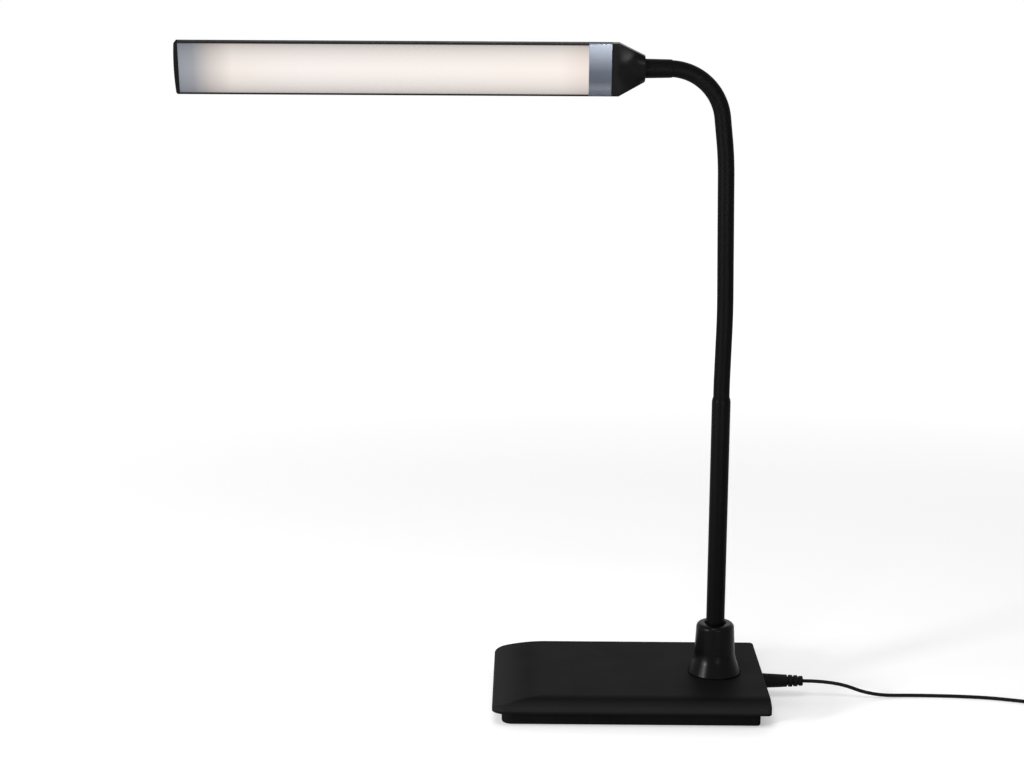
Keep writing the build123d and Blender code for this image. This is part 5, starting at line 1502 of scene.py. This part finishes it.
@dataclass
class Head:
    """The slim head: collar, band, lit panel and button, modelled level and then tilted.

    The front is the lit face's place before the axis, the flank the depth of the sides behind it,
    and the crown how far the middle of the back rises over them.
    """

    axis_height: float = 417.9
    tilt: float = 11.0
    width: float = 33.8
    front: float = -5.6
    flank: float = 5.8
    crown: float = 5.8
    front_round: float = 0.7
    least_front: float = 0.3
    back_round: float = 2.2
    least_back: float = 0.4
    collar_right: float = 4.2
    collar_left: float = -16.5
    collar_straight: float = 4.1
    collar_radius: float = 8.4
    collar_wall: float = 1.6
    collar_lip: float = 0.45
    collar_edge: float = 0.12
    collar_sharp: float = 0.45
    taper_rings: int = 24
    straight_rings: int = 4
    straight_margins: tuple[float, float] = (1.0, 0.5)
    lip_start: float = 15.0
    lip_rings: int = 6
    bush_flange: float = 5.9
    bush_flange_depth: float = 0.8
    bush_radius: float = 4.8
    bush_end: float = -3.6
    chamber_radius: float = 5.5
    chamber_end: float = -8.2
    band_left: float = -31.2
    band_right: float = -16.9
    band_thickness: float = 0.6
    band_end: float = 0.1
    band_end_drop: float = 0.08
    housing_left: float = -288.9
    diffuser_right: float = -31.26
    diffuser_half: float = 15.64
    diffuser_recess: float = 0.25
    diffuser_thickness: float = 2.0
    diffuser_edge: float = 0.2
    diffuser_round_steps: int = 5
    diffuser_chord: float = 1.0
    diffuser_rings: int = 80
    button_x: float = -24.0
    button_radius: float = 4.6
    button_proud: float = 0.9
    button_dome: float = 0.6
    button_base: float = 3.3
    button_flange: float = 1.0
    button_rim: float = 0.35
    button_rim_drop: float = 0.3
    button_rim_angle: float = 80.0
    button_rim_steps: int = 6
    button_pole: float = 0.05
    dome_rings: int = 14
    button_segments: int = 72
    crown_steps: int = 28
    back_steps: int = 12
    front_steps: int = 8
    flank_points: int = 7
    face_points: int = 16

    def place(self) -> Matrix:
        """The move from the level head to its place on the neck."""
        tilt = Matrix.Rotation(math.radians(self.tilt), 4, "X")
        return Matrix.Translation((0, 0, self.axis_height)) @ tilt

    def section(self, inset: float = 0.0) -> np.ndarray:
        """The head's cross-section in Y and Z: flat face, flanks and crowned back with rounds.

        The crown is an arc through its top and both flanks. Each back round is tangent to a flank
        and, from inside, to the crown, so its centre is the crown's radius less its own from the
        crown's centre.

        Args:
            inset: Distance inside the outer form.

        Returns:
            Y and Z of the outline's points.
        """
        half = self.width / 2
        radius = (half ** 2 + self.crown ** 2) / (2 * self.crown)
        middle = self.front + self.flank + self.crown - radius
        radius -= inset
        half -= inset
        back = max(self.back_round - inset, self.least_back)
        edge = max(self.front_round - inset, self.least_front)
        face = self.front + inset
        round_z = half - back
        round_y = middle + math.sqrt((radius - back) ** 2 - round_z ** 2)
        lean = math.degrees(math.atan2(round_z, round_y - middle))
        crown = arc((middle, 0.0), radius, 0.0, lean, self.crown_steps)[:-1]
        shoulder = arc((round_y, round_z), back, lean, 90.0, self.back_steps)
        corner = arc((face + edge, half - edge), edge, 90.0, 180.0, self.front_steps)
        flank = np.linspace(shoulder[-1], corner[0], self.flank_points)[1:-1]
        across = np.linspace(corner[-1], (face, 0.0), self.face_points)[1:]
        upper = np.concatenate([crown, shoulder, flank, corner, across])
        return np.concatenate([upper, upper[-2:0:-1] * np.array([1.0, -1.0])])

    def collar_rings(self) -> np.ndarray:
        """Rings of the collar: chamber, straight part, ruled taper to a circle, rounded lip and bore.

        A point of the taper is the section's point times (1 - s) plus the circle's point at the
        same bearing times s.

        Returns:
            Points as rings by points by three.
        """
        outer = self.section()
        bearing = outer / np.linalg.norm(outer, axis=1)[:, None]
        taper_start = self.collar_left + self.collar_straight
        run = self.collar_right - taper_start
        share = np.linspace(0, 1 - self.collar_lip / run, self.taper_rings)[:, None, None]
        taper = outer * (1 - share) + bearing * self.collar_radius * share
        taper_x = taper_start + share[:, 0, 0] * run
        lip_angle = np.radians(np.linspace(self.lip_start, 90, self.lip_rings))
        lip_radius = self.collar_radius - self.collar_lip * (1 - np.cos(lip_angle))
        lip_x = self.collar_right - self.collar_lip * (1 - np.sin(lip_angle))
        flange_x = self.collar_right - self.bush_flange_depth
        bore = [(self.bush_flange, self.collar_right), (self.bush_flange, flange_x),
                (self.bush_radius, flange_x), (self.bush_radius, self.bush_end),
                (self.chamber_radius, self.bush_end), (self.chamber_radius, self.chamber_end)]
        inner = self.section(self.collar_wall)
        first, last = self.straight_margins
        straight_x = np.linspace(self.collar_left + first, taper_start - last, self.straight_rings)
        layers = [(inner, self.collar_left), (self.section(self.collar_edge), self.collar_left),
                  (outer, self.collar_left + self.collar_edge)]
        layers += [(outer, place) for place in straight_x]
        layers += list(zip(taper, taper_x))
        layers += [(bearing * radius, place) for radius, place in [*zip(lip_radius, lip_x), *bore]]
        layers += [(inner, taper_start)]
        return np.array([np.column_stack([np.full(len(points), place), points]) for points, place in layers])

    def build_collar(self) -> None:
        """Make the collar."""
        skin = Skin(self.collar_rings(), loop=True).moved(self.place())
        piece = skin.to_object("head_collar_moulding", self.collar_sharp)
        fit(piece, Finish.GLOSS, "head", "black_gloss", "head_collar")

    def build_band(self) -> None:
        """Make the band: a thin plate with soft ends, whose long edges follow the head's front rounds."""
        half = self.width / 2
        edge = self.front_round
        back = self.front + self.band_thickness
        start = math.degrees(math.acos((back - self.front - edge) / edge))
        upper = arc((self.front + edge, half - edge), edge, start, 180.0, self.front_steps)
        lower = arc((self.front + edge, -half + edge), edge, 180.0, 360.0 - start, self.front_steps)
        left, right, end = self.band_left, self.band_right, self.band_end
        rings = extruded(np.concatenate([upper, lower]), np.array([left, left + end, right - end, right]))
        rings[[0, -1], :, 1] = np.maximum(rings[[0, -1], :, 1], self.front + self.band_end_drop)
        piece = Skin(rings).moved(self.place()).to_object("trim_band_brushed")
        fit(piece, Finish.BAND, "head", "band_aluminium", "trim_band")

    def build_panel(self) -> None:
        """Make the lit panel, with U along it from the free end and V from its edges to its middle."""
        low = self.front + self.diffuser_recess
        high = low + self.diffuser_thickness
        half = self.diffuser_half
        edge = self.diffuser_edge
        section = rounded_box((low, -half), (high, half), [edge, 0, 0, edge], self.diffuser_round_steps)
        places = np.linspace(self.housing_left, self.diffuser_right, self.diffuser_rings)
        skin = Skin(extruded(spaced_loop(section, self.diffuser_chord), places))
        along = (skin.points[:, 0] - self.housing_left) / (self.diffuser_right - self.housing_left)
        across = 1 - np.abs(skin.points[:, 2]) / half
        piece = skin.moved(self.place()).to_object("diffuser_opal")
        add_uv(piece, along, across)
        fit(piece, Finish.OPAL, "head", "opal", "diffuser")

    def build_button(self) -> None:
        """Make the button: flange, straight side and a domed top with a soft rim.

        The dome is part of a sphere through the button's top and its edge.
        """
        top = self.front + self.flank + self.crown + self.button_proud
        edge = top - self.button_dome
        radius = self.button_radius
        sphere = (radius ** 2 + self.button_dome ** 2) / (2 * self.button_dome)
        rim = radius - self.button_rim
        reach = np.linspace(rim, self.button_pole, self.dome_rings)
        dome = np.stack([reach, top - sphere + np.sqrt(sphere ** 2 - reach ** 2)], -1)
        middle = (rim, edge - self.button_rim_drop)
        side = arc(middle, self.button_rim, 0.0, self.button_rim_angle, self.button_rim_steps)
        flange, low = radius + self.button_flange, self.button_base
        foot = [(self.button_pole, low), (flange, low), (flange, low + self.button_flange),
                (radius, low + self.button_flange)]
        rings = turned(np.concatenate([foot, side, dome]), self.button_segments)
        skin = Skin(np.stack([rings[..., 0] + self.button_x, rings[..., 2], -rings[..., 1]], -1))
        piece = skin.moved(self.place()).to_object("power_button_cap")
        fit(piece, Finish.GLOSS, "button", "black_gloss", "power_button")

    def build(self) -> None:
        """Make the head's visible pieces."""
        self.build_collar()
        self.build_band()
        self.build_panel()
        self.build_button()


# ---- plug and what is on the cord --------------------------------------------
@dataclass
class Plug:
    """The plug's moulded grip with the three rings of its strain relief, whose radii are listed."""

    start: float = 90.0
    height: float = 12.8
    length: float = 16.6
    root_radius: float = 4.9
    end_radius: float = 4.1
    round: float = 0.5
    core_radius: float = 0.4
    neck_radius: float = 2.9
    rings: tuple[float, ...] = (4.0, 3.75, 3.3)
    ring_length: float = 2.6
    ring_gap: float = 0.9
    ring_round: float = 0.35
    groove_round: float = 0.15
    groove_depth: float = 0.6
    last_neck_radius: float = 2.7
    outlet_radius: float = 0.72
    round_steps: int = 6
    chord: float = 2.0
    segments: int = 96

    def build(self) -> bpy.types.Object:
        """Make the grip.

        Returns:
            The grip, which goes with the cord.
        """
        corners = [(self.core_radius, 0.0), (self.root_radius, 0.0), (self.end_radius, self.length),
                   (self.neck_radius, self.length)]
        radii = [0.0, self.round, self.round, self.groove_round]
        place = self.length
        for radius in self.rings:
            neck = min(self.neck_radius, radius - self.groove_depth)
            before = neck if radius > self.rings[-1] else self.last_neck_radius
            start = place + self.ring_gap
            place = start + self.ring_length
            corners += [(before, start), (radius, start), (radius, place), (neck, place)]
            radii += [self.groove_round, self.ring_round, self.ring_round, self.groove_round]
        corners[-1] = (self.outlet_radius, place)
        radii[-1] = 0.0
        profile = spaced(rounded(corners, radii, False, self.round_steps), self.chord)
        rings = laid_along_x(turned(profile, self.segments), self.start, 1, self.height)
        piece = Skin(rings).to_object("plug_grip_moulding")
        return fit(piece, Finish.GRIP, "base", "black_rubber", "plug_grip")


@dataclass
class CoilTie:
    """The woven strap round the coil."""

    left: float = 276.2
    right: float = 287.8
    y: float = -30.5
    length: float = 6.0
    top: float = 11.2
    thickness: float = 0.75
    corner: float = 2.4
    round_steps: int = 8

    def build(self) -> bpy.types.Object:
        """Make the strap: an outer and an inner rounded rectangle joined across its width.

        Returns:
            The strap, which goes with the cord.
        """
        rings = []
        for inset, side in ((0.0, -1), (0.0, 1), (self.thickness, 1), (self.thickness, -1)):
            low, high = (self.left + inset, inset), (self.right - inset, self.top - inset)
            outline = rounded_box(low, high, [self.corner - inset] * 4, self.round_steps)
            y = np.full(len(outline), self.y + side * self.length / 2)
            rings.append(np.stack([outline[:, 0], y, outline[:, 1]], -1))
        piece = Skin(np.array(rings), loop=True).to_object("coil_tie_strap")
        return fit(piece, Finish.STRAP, "base", "switch_black", "coil_tie")


# ---- carried-over CAD nodes --------------------------------------------------
NODE_FINISHES = {
    "base_tray": Finish.TRAY, "base_screws": Finish.ZINC, "ballast_plate": Finish.ZINC,
    "ballast_screws": Finish.ZINC, "dc_jack": Finish.SWITCH, "jack_pin": Finish.BRASS,
    "base_cable": Finish.CORD, "stem_washer": Finish.ZINC, "stem_nut": Finish.ZINC,
    "neck_root": Finish.ZINC, "stop_washer": Finish.ZINC, "swivel_spring": Finish.ZINC,
    "retaining_clip": Finish.ZINC, "swivel_bush": Finish.ACETAL, "head_screws": Finish.BLACK_ZINC,
    "head_housing": Finish.HEAD, "end_cap": Finish.TRAY, "reflector": Finish.WHITE,
    "led_board": Finish.BOARD, "leds": Finish.LED, "driver_board": Finish.SOLDER_MASK,
    "board_pins": Finish.BRASS, "head_leads": Finish.CORD, "tact_switch": Finish.SWITCH,
    "switch_plunger": Finish.SWITCH, "plug_barrel": Finish.ZINC, "adapter_relief": Finish.GRIP,
    "wall_adapter": Finish.ADAPTER, "adapter_blades": Finish.ZINC,
}


def main() -> None:
    """Build the lamp round its frame."""
    logging.basicConfig(level=logging.INFO, format="%(name)s %(message)s")
    Camera().build()
    power_cord = PowerCord()
    cord = power_cord.build()
    on_cord = [Plug().build(), CoilTie().build()]
    for assembly in (BaseCover(), BasePad(), Stem(), Neck(), Swivel(), Head()):
        assembly.build()
    links = {name: Finish.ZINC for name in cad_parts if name.startswith("neck_link_")}
    dress_nodes({**NODE_FINISHES, **links})
    power_cord.declare()
    Studio().build()


if __name__ == "__main__":
    main()
